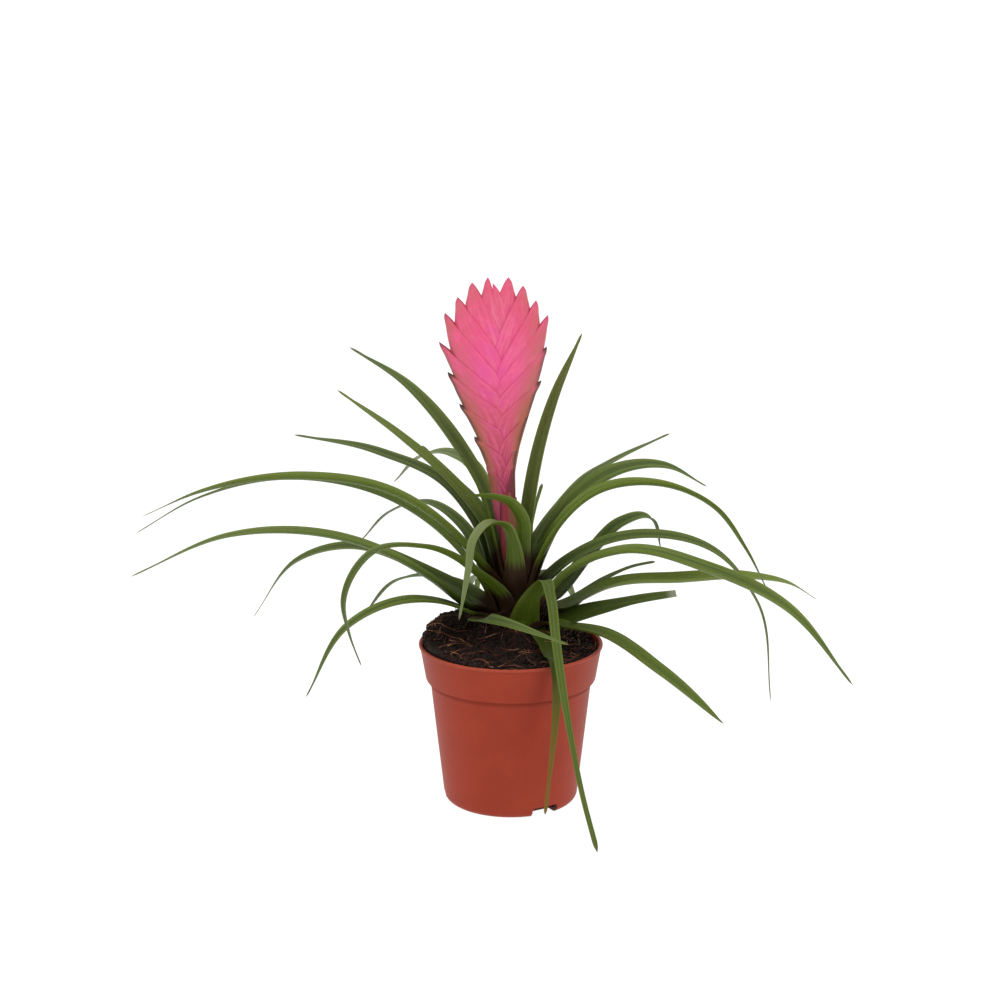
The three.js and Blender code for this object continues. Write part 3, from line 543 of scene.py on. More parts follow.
class Bench:
    """Lays nodes in one tree."""

    def __init__(self, tree):
        self.tree = tree

    def add(self, kind, settings, *places, **names):
        """A node of one kind, with its settings made first and its sockets fed by place or by name."""
        node = self.tree.nodes.new(kind)
        for key, value in settings.items():
            if key == "stops":
                self.set_stops(node.color_ramp, value)
            else:
                setattr(node, key, value)
        open_inputs = [socket for socket in node.inputs if socket.enabled]
        for socket, value in zip(open_inputs, places):
            self.feed(socket, value)
        for name, value in names.items():
            wanted = name.replace("_", " ")
            self.feed(next(socket for socket in open_inputs if socket.name == wanted), value)
        open_outputs = [socket for socket in node.outputs if socket.enabled]
        return Term(self, open_outputs[0]) if open_outputs else node

    def feed(self, socket, value):
        if value is None:
            return
        if isinstance(value, Term):
            self.tree.links.new(value.socket, socket)
        else:
            socket.default_value = value

    def set_stops(self, ramp, stops):
        while len(ramp.elements) < len(stops):
            ramp.elements.new(0.5)
        for element, (place, colour) in zip(ramp.elements, stops):
            element.position = place
            element.color = (*colour, 1.0)

    def ramp(self, factor, stops):
        return self.add("ShaderNodeValToRGB", {"stops": stops}, factor)

    def mixed(self, factor, first, second):
        """A blend of two colours."""
        node = self.tree.nodes.new("ShaderNodeMix")
        node.data_type = "RGBA"
        first, second = (value if isinstance(value, Term) else (*value, 1.0) for value in (first, second))
        self.feed(node.inputs[0], factor)
        self.feed(node.inputs[6], first)
        self.feed(node.inputs[7], second)
        return Term(self, node.outputs[2])

    def vector(self, x, y, z):
        return self.add("ShaderNodeCombineXYZ", {}, x, y, z)

    def parts(self, vector):
        x = self.add("ShaderNodeSeparateXYZ", {}, vector)
        return x, x.out("Y"), x.out("Z")

    def speckle(self, place, scale, detail=3.0, roughness=0.5):
        """Smooth noise between 0 and 1."""
        return self.add("ShaderNodeTexNoise", {}, place, Scale=scale, Detail=detail, Roughness=roughness)

    def vectors(self, operation, *places, **names):
        """One step of maths on vectors."""
        return self.add("ShaderNodeVectorMath", {"operation": operation}, *places, **names)

    def stretched(self, place, scales):
        """A place with each of its axes scaled."""
        return self.vectors("MULTIPLY", place, scales)

    def object_place(self):
        return self.add("ShaderNodeTexCoord", {}).out("Object")

    def chance(self, kind, low, high, seed):
        """A random value between two others, different for every point."""
        return self.add("FunctionNodeRandomValue", {"data_type": kind}, low, high, Seed=seed)

    def attribute(self, name):
        node = self.tree.nodes.new("ShaderNodeAttribute")
        node.attribute_name = name
        return Term(self, node.outputs["Vector"])


def surface(name, **constants):
    """A new material with one Principled shader, its steady values set on the shader's own sockets."""
    material = bpy.data.materials.new(name)
    material.use_nodes = True
    shader = material.node_tree.nodes["Principled BSDF"]
    for key, value in constants.items():
        shader.inputs[key.replace("_", " ")].default_value = value
    return material, Bench(material.node_tree), shader


def finish_surface(bench, shader, colour, roughness, height, depth):
    """Feeds what changes over the surface: colour, roughness and a bump of that depth in metres."""
    bench.feed(shader.inputs["Base Color"], colour)
    bench.feed(shader.inputs["Roughness"], roughness)
    bump = bench.add("ShaderNodeBump", {}, Strength=1.0, Distance=depth, Height=height)
    bench.feed(shader.inputs["Normal"], bump)


def leaf_material():
    """Green with fine lines along the blade, greyer and scaly above, maroon at the sheath, with painted
    highlights down its middle and along its edges, and darker towards its foot, partly painted shade.
    """
    material, bench, shader = surface("leaf_tissue", Specular_IOR_Level=0.17)
    across, share, length = bench.parts(bench.attribute("blade_place"))
    tone, upper, dryness = bench.parts(bench.attribute("blade_traits"))
    maroon_reach, yellow, shade = bench.parts(bench.attribute("blade_base"))
    shift = tone * 37.0
    lines = bench.speckle(bench.vector(across * 9.0 + shift, length * 14.0, shift), 1.0, 2.0)
    fine = bench.speckle(bench.vector(across * 26.0 + shift, length * 40.0, shift), 1.0, 2.0)
    patches = bench.speckle(bench.vector(across * 0.8 + shift, length * 22.0, shift), 1.0, 3.0)
    scurf = bench.speckle(bench.vector(across * 30.0, length * 2200.0, shift), 1.0, 2.0, 0.7)
    streak = lines.between(0.3, 0.7)
    bands = bench.speckle(bench.vector(across * 2.4 + shift, length * 7.0, shift + 5.0), 1.0, 1.0)
    band = bands.between(0.38, 0.62)
    under = bench.mixed(streak, LEAF_UNDER_DARK, LEAF_UNDER_LIGHT)
    under = bench.mixed(fine.between(0.35, 0.7) * 0.3, under, LEAF_PALE_LINE)
    under = bench.mixed(band * 0.5, under, LEAF_UNDER_BAND)
    # Painted highlight: a lighter line down the middle of the under face
    middle_highlight = 1.0 - abs(across).between(0.05, 0.45)
    under = bench.mixed(middle_highlight * 0.3, under, LEAF_MIDDLE_HIGHLIGHT)
    over = bench.mixed(streak * 0.8, LEAF_OVER_DARK, LEAF_OVER_LIGHT)
    over = bench.mixed(scurf.between(0.45, 0.75) * 0.35, over, LEAF_SCALES)
    over = bench.mixed(band * 0.35, over, LEAF_OVER_BAND)
    flank = abs(across).between(0.14, 0.3) * (1.0 - abs(across).between(0.55, 0.75))
    over = bench.mixed(flank * 0.45, over, LEAF_FLANK)
    # Painted highlight: the middle of the upper face made paler with the pale line colour
    groove_highlight = 1.0 - abs(across).between(0.0, 0.25)
    over = bench.mixed(groove_highlight * 0.5, over, LEAF_PALE_LINE)
    # Pale tint of the upper face: partly its grey scales, partly painted light
    over = bench.mixed((-shade).at_least(0.0), over, LEAF_PALE_AND_PAINTED_LIGHT)
    green = bench.mixed(upper, under, over)
    green = bench.mixed(patches.between(0.4, 0.72) * 0.3, green, LEAF_PATCH)
    # Painted highlight along the blade's edges
    green = bench.mixed(abs(across).between(0.62, 0.95) * 0.5, green, LEAF_EDGE_HIGHLIGHT)
    green = bench.mixed(yellow, green, LEAF_YELLOW)
    # Dark tint: partly the leaf's own darker tone, partly painted shade
    green = bench.mixed(shade.at_least(0.0), green, LEAF_DARK_AND_PAINTED_SHADE)
    # Darker towards the foot of the blade in the rosette's middle: partly darker colour, partly painted shade
    deep = 1.0 - length.between(0.035, 0.075)
    green = bench.mixed(deep * 0.42, green, LEAF_DARK_AND_PAINTED_SHADE)
    ragged = length + (lines - 0.5) * 0.010
    maroon = 1.0 - (ragged / maroon_reach).between(0.84, 1.02)
    green = bench.mixed(maroon * 0.95, green, LEAF_MAROON)
    tip = (share + (patches - 0.5) * 0.06).between(0.965, 0.998)
    colour = bench.mixed(tip * 0.6, green, LEAF_TIP)
    dry = share.between(0.92, 0.985) * dryness.at_least(0.0)
    colour = bench.mixed(dry, colour, LEAF_DRY)
    rust = share.between(0.3, 0.9) * (-dryness).at_least(0.0)
    colour = bench.mixed(rust * 0.75, colour, LEAF_RUST)
    roughness = 0.28 + upper * 0.14 + fine * 0.12 + maroon * 0.2
    finish_surface(bench, shader, colour, roughness, lines + fine * 0.6, 0.00022)
    return material


def bract_material():
    """Finely striped pink, brown at the sides of the head low down, maroon on the stalk, with a painted glow.
    """
    material, bench, shader = surface("bract_skin", Specular_IOR_Level=0.35)
    across, along, dark = bench.parts(bench.attribute("bract_place"))
    outwards, height, shift = bench.parts(bench.attribute("bract_traits"))
    gap, maroon, from_keel = bench.parts(bench.attribute("bract_edge"))
    pattern = bench.vector(across * 13.0 + shift, along * 2.2, shift)
    streaks = bench.speckle(pattern, 1.0, 3.0)
    fine = bench.speckle(bench.vector(across * 44.0 + shift, along * 5.0, shift), 1.0, 2.0)
    blotch = bench.speckle(bench.vector(across * 2.2 + shift, along * 4.5, shift), 1.0, 3.0)
    rose = bench.ramp(height, BRACT_STOPS)
    fleck = bench.speckle(bench.vector(across * 5.0 + shift, along * 15.0, shift + 3.0), 1.0, 4.0, 0.65)
    colour = bench.mixed(streaks.between(0.35, 0.7) * 0.45, rose, BRACT_STREAK)
    colour = bench.mixed(fine.between(0.45, 0.75) * 0.25, colour, BRACT_LINE)
    colour = bench.mixed(fleck.between(0.5, 0.72) * 0.3, colour, BRACT_FLECK)
    colour = bench.mixed((1.0 - fleck.between(0.28, 0.48)) * 0.35, colour, BRACT_FRECKLE)
    pale = (1.0 - outwards.between(0.05, 0.4)) * height.between(0.5, 0.8) * streaks.between(0.4, 0.65)
    colour = bench.mixed(pale * 0.4, colour, BRACT_PALE)
    cool = blotch.between(0.5, 0.75) * (1.0 - outwards.between(0.3, 0.9))
    colour = bench.mixed(cool * 0.45, colour, BRACT_COOL)
    flush = along.between(0.6, 0.9) * height.between(0.55, 0.85) * blotch.between(0.3, 0.6)
    colour = bench.mixed(flush * 0.4, colour, BRACT_FLUSH)
    above_stalk = height.between(0.02, 0.12)
    salmon = outwards.between(0.2, 0.95) * blotch.between(0.28, 0.55) * above_stalk
    colour = bench.mixed(salmon * 0.75, colour, BRACT_SALMON)
    olive = outwards.between(0.55, 0.95) * streaks.between(0.45, 0.65) * above_stalk
    colour = bench.mixed(olive * 0.45, colour, BRACT_OLIVE)
    low = 1.0 - height.between(0.3, 0.75)
    brown = outwards.between(0.35, 0.9) * low * blotch.between(0.15, 0.45) * above_stalk
    colour = bench.mixed(brown * 0.8, colour, BRACT_BROWN)
    deep = maroon.between(0.2, 0.95)
    colour = bench.mixed(deep, colour, BRACT_MAROON)
    inside_edge = 1.0 - gap.between(0.02, 0.09)
    colour = bench.mixed(inside_edge * 0.3, colour, BRACT_INNER_EDGE)
    magenta_tip = along.between(0.9, 0.99) * (1.0 - dark)
    colour = bench.mixed(magenta_tip * 0.65, colour, BRACT_MAGENTA_TIP)
    needle = along.between(0.93, 0.985) * dark
    colour = bench.mixed(needle, colour, BRACT_NEEDLE)
    keel = (1.0 - from_keel.between(0.05, 0.26)) * along.between(0.5, 0.82) * dark
    colour = bench.mixed(keel * 0.9, colour, BRACT_KEEL)
    roughness = 0.42 + fine * 0.14
    # Painted glow: the bracts give off their own colour, which also lifts the shade in their crevices
    bench.feed(shader.inputs["Emission Color"], colour)
    shader.inputs["Emission Strength"].default_value = BRACT_PAINTED_GLOW
    finish_surface(bench, shader, colour, roughness, streaks + fine * 0.5, 0.00016)
    return material


def stalk_material():
    """Crimson, going to brown green at the foot, darker at the left and paler at the right."""
    material, bench, shader = surface("stalk_skin", Specular_IOR_Level=0.4)
    place = bench.object_place()
    x, _, z = bench.parts(place)
    streaks = bench.speckle(bench.stretched(place, (900.0, 900.0, 60.0)), 1.0, 3.0)
    colour = bench.ramp(z.between(0.100, 0.152), STALK_STOPS)
    colour = bench.mixed(1.0 - x.between(-0.0055, -0.0035), colour, STALK_LEFT_SIDE)
    colour = bench.mixed(x.between(-0.0022, -0.0002) * 0.85, colour, STALK_RIGHT_SIDE)
    colour = bench.mixed(streaks.between(0.4, 0.7) * 0.35, colour, STALK_STREAK)
    finish_surface(bench, shader, colour, 0.42 + streaks * 0.15, streaks, 0.0002)
    return material


def pot_material():
    """Terracotta-coloured plastic, a little cloudy and dusty, with a painted highlight at the lip and painted
    shade under the collar and in its notches.
    """
    material, bench, shader = surface("pot_plastic", Specular_IOR_Level=0.18)
    place = bench.object_place()
    x, y, z = bench.parts(place)
    cloudy = bench.speckle(place, 55.0, 4.0, 0.6)
    grain = bench.speckle(place, 900.0, 2.0, 0.6)
    dust = bench.speckle(bench.stretched(place, (90.0, 90.0, 30.0)), 1.0, 5.0, 0.65)
    colour = bench.mixed(cloudy.between(0.3, 0.75), POT_RED, POT_RED_CLOUD)
    colour = bench.mixed(dust.between(0.55, 0.8) * 0.12, colour, POT_DUST)
    # Painted highlight: a paler band along the lip
    lip = z.between((POT_HEIGHT - 1.7) * MM, (POT_HEIGHT - 0.8) * MM)
    colour = bench.mixed(lip * 0.3, colour, POT_LIP_HIGHLIGHT)
    # Painted shade on the slope below the collar, darkest just under the collar's foot
    collar_foot = (POT_HEIGHT - COLLAR_DEPTH) * MM
    chamfer_shade = z.between(collar_foot - 0.004, collar_foot - 0.0008)
    chamfer_shade = chamfer_shade * (1.0 - z.between(collar_foot - 0.0004, collar_foot + 0.0002))
    colour = bench.mixed(chamfer_shade * 0.4, colour, POT_CHAMFER_SHADE)
    # Painted shade inside the notches: the faces cut into the foot, below the notch's top, are darkened
    foot_rise = 1.0 - z.between(0.0, FOOT_CORNER * MM)
    foot_round = FOOT_CORNER * MM * (1.0 - foot_rise * foot_rise) ** 0.5
    depth = (FOOT_RADIUS - FOOT_CORNER) * MM + foot_round - (x * x + y * y) ** 0.5
    notch_top = NOTCH_HEIGHT * MM
    notch_shade = depth.between(0.0002, 0.0006) * z.between(0.0, 0.0001)
    notch_shade = notch_shade * (1.0 - z.between(notch_top, notch_top + 0.0002))
    colour = bench.mixed(notch_shade * 0.85, colour, POT_NOTCH_SHADE)
    roughness = 0.40 + cloudy * 0.12 + grain * 0.08 + chamfer_shade * 0.4
    finish_surface(bench, shader, colour, roughness, grain + cloudy * 0.7, 0.00006)
    return material


def peat_material():
    material, bench, shader = surface("moist_peat", Specular_IOR_Level=0.3)
    place = bench.object_place()
    lumps = bench.speckle(place, 260.0, 5.0, 0.65)
    grit = bench.speckle(place, 1400.0, 3.0, 0.7)
    colour = bench.ramp(lumps, PEAT_STOPS)
    colour = bench.mixed(grit.between(0.58, 0.75) * 0.6, colour, PEAT_GRIT)
    roughness = 0.72 + grit * 0.25
    finish_surface(bench, shader, colour, roughness, lumps + grit * 0.5, 0.0009)
    return material


def fibre_material():
    material, bench, shader = surface("coir_fibre", Specular_IOR_Level=0.35)
    place = bench.object_place()
    batches = bench.speckle(place, 120.0, 2.0)
    rub = bench.speckle(place, 900.0, 2.0)
    colour = bench.ramp(batches, FIBRE_STOPS)
    finish_surface(bench, shader, colour, 0.55 + rub * 0.2, rub, 0.0001)
    return material


def crown_material():
    material, bench, shader = surface("crown_bark", Specular_IOR_Level=0.3)
    place = bench.object_place()
    flakes = bench.speckle(place, 420.0, 4.0, 0.6)
    colour = bench.mixed(flakes.between(0.35, 0.7), CROWN_DARK, CROWN_LIGHT)
    finish_surface(bench, shader, colour, 0.7 + flakes * 0.2, flakes, 0.0006)
    return material


def floor_material():
    """A white sheet bright enough by itself to stay white round the pot."""
    material, bench, shader = surface("white_floor", Specular_IOR_Level=0.0)
    place = bench.object_place()
    tone = bench.speckle(place, 3.0, 2.0)
    colour = bench.mixed(tone, FLOOR_GREY, FLOOR_GREY_PATCH)
    bench.feed(shader.inputs["Base Color"], colour)
    shader.inputs["Roughness"].default_value = 0.85
    shader.inputs["Emission Color"].default_value = WHITE
    shader.inputs["Emission Strength"].default_value = FLOOR_GLOW
    return material


def surround():
    """A white studio: dim behind the camera, brighter at the sides, brightest above and behind."""
    world = bpy.data.worlds.new("surround")
    world.use_nodes = True
    bench = Bench(world.node_tree)
    backdrop = world.node_tree.nodes["Background"]
    x, y, z = bench.parts(bench.add("ShaderNodeTexCoord", {}).out("Generated"))
    front = (-y).between(0.25, 0.9)
    above = z.between(0.35, 0.95)
    strength = BACK_LIGHT + (SIDE_LIGHT - BACK_LIGHT) * abs(x).between(0.3, 0.9)
    strength = strength + (FRONT_LIGHT - BACK_LIGHT) * front
    strength = strength + (TOP_LIGHT - BACK_LIGHT) * above
    bench.feed(backdrop.inputs["Strength"], strength)
    backdrop.inputs["Color"].default_value = WHITE
    return world


def smoothstep(value, low, high):
    share = np.clip((np.asarray(value, float) - low) / (high - low), 0, 1)
    return share * share * (3 - 2 * share)


def plain_mesh(name, points, faces, material, smooth=True):
    """An object at the origin whose mesh holds these points, given in millimetres."""
    mesh = bpy.data.meshes.new(name)
    mesh.from_pydata((np.asarray(points, float) * MM).tolist(), [], [list(face) for face in faces])
    mesh.materials.append(material)
    mesh.validate()
    if smooth:
        mesh.polygons.foreach_set("use_smooth", np.ones(len(mesh.polygons), bool))
    obj = bpy.data.objects.new(name, mesh)
    bpy.context.scene.collection.objects.link(obj)
    return obj


def put_attribute(mesh, name, values):
    attribute = mesh.attributes.new(name, "FLOAT_VECTOR", "POINT")
    attribute.data.foreach_set("vector", np.asarray(values, np.float32).ravel())


def angles(sides):
    """Evenly spaced angles once round a circle."""
    return [2 * math.pi * index / sides for index in range(sides)]


def ring_faces(rings, sides, outwards=True):
    """The faces between rings of points: outwards where the rings climb, or up where they widen."""
    faces = []
    for ring in range(rings - 1):
        for index in range(sides):
            a = ring * sides + index
            b = ring * sides + (index + 1) % sides
            faces.append((a, b, b + sides, a + sides) if outwards else (a, a + sides, b + sides, b))
    return faces


def made_plain(obj):
    """Puts the plain mesh that an object's modifiers give in the place of its mesh and modifiers."""
    bpy.context.view_layer.update()
    evaluated = obj.evaluated_get(bpy.context.evaluated_depsgraph_get())
    mesh = bpy.data.meshes.new_from_object(evaluated)
    obj.modifiers.clear()
    obj.data = mesh
    return obj


def grown(obj, tree, sizes):
    """Puts the plain mesh that a node tree grows from an object's mesh in the object's place."""
    modifier = obj.modifiers.new("Grow", "NODES")
    modifier.node_group = tree
    for item in tree.interface.items_tree:
        if item.item_type == "SOCKET" and item.in_out == "INPUT" and item.name in sizes:
            modifier[item.identifier] = sizes[item.name]
    made_plain(obj)
    obj.data.name = obj.name
    return obj


def new_tree(name, inputs):
    """A geometry tree with named inputs, and its group input's terms by name."""
    tree = bpy.data.node_groups.new(name, "GeometryNodeTree")
    tree.interface.new_socket("Geometry", in_out="INPUT", socket_type="NodeSocketGeometry")
    for label, kind in inputs:
        tree.interface.new_socket(label, in_out="INPUT", socket_type="NodeSocket" + kind)
    tree.interface.new_socket("Geometry", in_out="OUTPUT", socket_type="NodeSocketGeometry")
    bench = Bench(tree)
    node = tree.nodes.new("NodeGroupInput")
    given = {socket.name: Term(bench, socket) for socket in node.outputs if socket.name}
    return tree, bench, given


def close_tree(bench, geometry, material):
    """Ends a tree: instances made real, the material set and the geometry handed on."""
    real = bench.add("GeometryNodeRealizeInstances", {}, geometry)
    dressed = bench.add("GeometryNodeSetMaterial", {}, real, Material=material)
    end = bench.tree.nodes.new("NodeGroupOutput")
    bench.feed(end.inputs[0], dressed)


def blade_tree():
    """Grows a thin channelled blade along a row of stations that carry its frame and its sizes."""
    tree, bench, given = new_tree("blade", (("Rows", "Int"), ("Columns", "Int"), ("Thickness", "Float"),
                                            ("Skin", "Material")))
    stations = given["Geometry"]
    last_row = given["Rows"] - 1.0

    def at_station(name, row):
        vectors = {"data_type": "FLOAT_VECTOR"}
        source = bench.add("GeometryNodeInputNamedAttribute", vectors, name)
        return bench.add("GeometryNodeSampleIndex", vectors, stations, source, row)

    skins = []
    for upper in (0.0, 1.0):
        grid = bench.add("GeometryNodeMeshGrid", {}, 1.0, 1.0, given["Columns"], given["Rows"])
        x, y, _ = bench.parts(bench.add("GeometryNodeInputPosition", {}))
        row = ((y + 0.5) * last_row).rounded()
        across = x * 2.0
        half, bend, middle = bench.parts(at_station("station_sizes", row))
        share, length, tone = bench.parts(at_station("station_place", row))
        body, dryness, _ = bench.parts(at_station("station_traits", row))
        turn = across * half / bend
        thickness = given["Thickness"] * body * (1.0 - abs(across) ** 4.0)
        reach = bend - thickness * upper
        sideways = reach * turn.sine()
        inwards = bend - reach * turn.cosine() - middle
        place = at_station("station_point", row)
        for name, shift in (("station_side", sideways), ("station_face", inwards)):
            place = bench.vectors("ADD", place, bench.vectors("SCALE", at_station(name, row), Scale=shift))
        marks = {"data_type": "FLOAT_VECTOR", "domain": "POINT"}
        for name, value in (("blade_place", bench.vector(across, share, length)),
                            ("blade_traits", bench.vector(tone, upper, dryness)),
                            ("blade_base", at_station("station_base", row))):
            grid = bench.add("GeometryNodeStoreNamedAttribute", marks, grid, None, name, value)
        grid = bench.add("GeometryNodeSetPosition", {}, grid, Position=place)
        if upper == 0.0:
            grid = bench.add("GeometryNodeFlipFaces", {}, grid)
        skins.append(grid)
    join = tree.nodes.new("GeometryNodeJoinGeometry")
    for skin in skins:
        tree.links.new(skin.socket, join.inputs[0])
    whole = bench.add("GeometryNodeMergeByDistance", {}, Term(bench, join.outputs[0]),
                      Distance=WELD_DISTANCE)
    whole = bench.add("GeometryNodeSetShadeSmooth", {}, whole)
    bent = bench.add("GeometryNodeInputMeshEdgeAngle", {})
    past = {"operation": "GREATER_THAN"}
    sharp = bench.add("FunctionNodeCompare", past, bent, math.radians(SHARP_ANGLE))
    whole = bench.add("GeometryNodeSetShadeSmooth", {"domain": "EDGE"}, whole, sharp, False)
    close_tree(bench, whole, given["Skin"])
    return tree


def from_axis(azimuth, out, up):
    angle = math.radians(azimuth)
    return np.array([PLANT_X + out * math.cos(angle), out * math.sin(angle), up])


def blade_path(points):
    """A smooth path that starts straight up at the first point and runs through all the others."""
    last = len(points) - 1
    tangents = []
    for index, point in enumerate(points):
        if index == 0:
            tangents.append(np.array([0.0, 0.0, 1.0]))
        elif index == last:
            tangents.append(point - points[last - 1])
        else:
            before = np.linalg.norm(point - points[index - 1])
            after = np.linalg.norm(points[index + 1] - point)
            into = (point - points[index - 1]) / before
            onward = (points[index + 1] - point) / after
            tangents.append((into * after + onward * before) / (before + after))
    tangents = [tangent / np.linalg.norm(tangent) for tangent in tangents]
    samples = []
    for index in range(last):
        chord = np.linalg.norm(points[index + 1] - points[index])
        for t in np.arange(0, 1, PATH_STEP):
            samples.append(points[index] * (1 + 2 * t) * (1 - t) ** 2
                           + tangents[index] * chord * t * (1 - t) ** 2
                           + points[index + 1] * t * t * (3 - 2 * t)
                           + tangents[index + 1] * chord * t * t * (t - 1))
    samples.append(points[last])
    return samples


def crown_top(radius):
    share = (CROWN_RADIUS - radius) / (CROWN_RADIUS - STALK_HOLE_RADIUS)
    return CROWN_EDGE_HEIGHT + share * (CROWN_TOP_HEIGHT - CROWN_EDGE_HEIGHT)


def leaf_stations(number, leaf):
    """One leaf as a row of stations from its wide clasping sheath at the crown to its tip, in millimetres."""
    name, ring, sheath, blade, width, roll, taper, path = leaf
    radius = RING_RADIUS + RING_PITCH * ring + RING_STAGGER * (number % RING_STAGGER_CYCLE)
    foot = crown_top(radius - SHEATH_INSET) - SHEATH_ROOTING
    top = SHEATH_TOP - SHEATH_TOP_DROP * ring
    base = from_axis(sheath, radius, top)
    points = [base] + [from_axis(spot[2] if len(spot) > 2 else blade, spot[0], spot[1]) for spot in path]
    heights = np.linspace(foot, top, SHEATH_SAMPLES)[:-1]
    upright = [from_axis(sheath, radius, height) for height in heights]
    samples = np.array(upright + blade_path(points))
    steps = np.linalg.norm(np.diff(samples, axis=0), axis=1)
    lengths = np.concatenate([[0], np.cumsum(steps)])
    total = lengths[-1]
    shares = np.linspace(0, 1, LEAF_ROWS) ** LEAF_ROW_CROWDING
    if taper == 0:
        shares[-2] = 1 - CUT_END_STEP / total
    spots = np.stack([np.interp(shares * total, lengths, samples[:, axis]) for axis in range(3)], 1)
    angle = math.radians(sheath)
    side = np.array([-math.sin(angle), math.cos(angle), 0.0])
    sides = []
    faces = []
    for index in range(LEAF_ROWS):
        forward = spots[min(index + 1, LEAF_ROWS - 1)] - spots[max(index - 1, 0)]
        forward /= np.linalg.norm(forward)
        side = side - forward * side.dot(forward)
        side /= np.linalg.norm(side)
        sides.append(side.copy())
        faces.append(np.cross(forward, side))
    sides = np.array(sides)
    faces = np.array(faces)
    along = shares * total
    blade_half = width / 2
    if taper == 0:
        half = blade_half * (1 - CUT_END_NARROWING * shares ** 3)
    else:
        half = blade_half * (1 - shares ** taper)
        tip_half = LONG_TIP_HALF_WIDTH if total > LONG_LEAF else TIP_HALF_WIDTH
        half = np.maximum(half, tip_half * (1 - smoothstep(shares, TIP_START, 1.0)))
    clasp = min(SHEATH_HALF_WIDTH, SHEATH_SHARE * width, math.radians(SHEATH_WIDEST_ANGLE) * radius)
    half = half + (clasp - blade_half) * (1 - smoothstep(along, SHEATH_START, SHEATH_LENGTH))
    sway = sum(np.sin(along * pitch + number * shift) * strength for pitch, shift, strength in WIDTH_SWAYS)
    half = half * (1 + sway)
    blend = smoothstep(along, *CURVE_BLEND)
    bend = radius + (BLADE_CURVE_RADIUS - radius) * blend
    spread = np.minimum(half / bend, MOST_SPREAD + (1 - blend) * SHEATH_EXTRA_SPREAD)
    middle = bend * (1 - np.cos(spread)) / 2 * smoothstep(along, *CENTRE_BLEND)
    turn = math.radians(roll) * smoothstep(along, ROLL_START, ROLL_END_SHARE * total)
    turn = turn + WAVER_TURN * np.sin(along * WAVER_PITCH + number) * smoothstep(along, *WAVER_BLEND)
    cos = np.cos(turn)[:, None]
    sin = np.sin(turn)[:, None]
    body = np.sin(np.pi * np.clip(np.arange(LEAF_ROWS) / FOOT_ROWS, 0, 0.5))
    body = body * np.minimum(1, THIN_TIP_SHARE + (1 - THIN_TIP_SHARE) * half / blade_half)
    body[-1] = 0
    return {"point": spots, "across": sides * cos + faces * sin, "inward": faces * cos - sides * sin,
            "spread": spread, "bend": bend, "middle": middle, "share": shares, "along": along, "body": body}


def make_leaf(number, leaf, tree, material):
    """A leaf's stations as a bare line that carries three values to an attribute, grown into a blade."""
    name, ring = leaf[:2]
    stations = leaf_stations(number, leaf)
    ones = np.ones(LEAF_ROWS)
    tone = (number * TONE_STEP) % 1.0
    dryness = LEAF_DRYNESS.get(name, 0.0)
    maroon_reach = SHORT_MAROON.get(name, MAROON_LENGTH - MAROON_DROP * ring) * MM
    plain_tint = [reach * ((number * step) % 1.0) for reach, step in zip(TINT_REACHES, TINT_STEPS)]
    yellow, shade = LEAF_TINTS.get(name, plain_tint)
    arc = stations["spread"] * stations["bend"]
    mesh = bpy.data.meshes.new("stations")
    mesh.from_pydata((stations["point"] * MM).tolist(), [(i, i + 1) for i in range(LEAF_ROWS - 1)], [])
    put_attribute(mesh, "station_point", stations["point"] * MM)
    put_attribute(mesh, "station_side", stations["across"])
    put_attribute(mesh, "station_face", stations["inward"])
    for key, values in (("sizes", (arc * MM, stations["bend"] * MM, stations["middle"] * MM)),
                        ("place", (stations["share"], stations["along"] * MM, tone * ones)),
                        ("traits", (stations["body"], dryness * ones, 0 * ones)),
                        ("base", (maroon_reach * ones, yellow * ones, shade * ones))):
        put_attribute(mesh, "station_" + key, np.stack(values, 1))
    obj = bpy.data.objects.new("blade_" + name, mesh)
    bpy.context.scene.collection.objects.link(obj)
    sizes = {"Rows": LEAF_ROWS, "Columns": LEAF_COLUMNS, "Thickness": LEAF_THICKNESS * MM, "Skin": material}
    return grown(obj, tree, sizes)


def axis_x(height):
    return PLANT_X - HEAD_LEAN * (np.clip(height, HEAD_LEAN_START, HEAD_LEAN_END) - HEAD_LEAN_START)


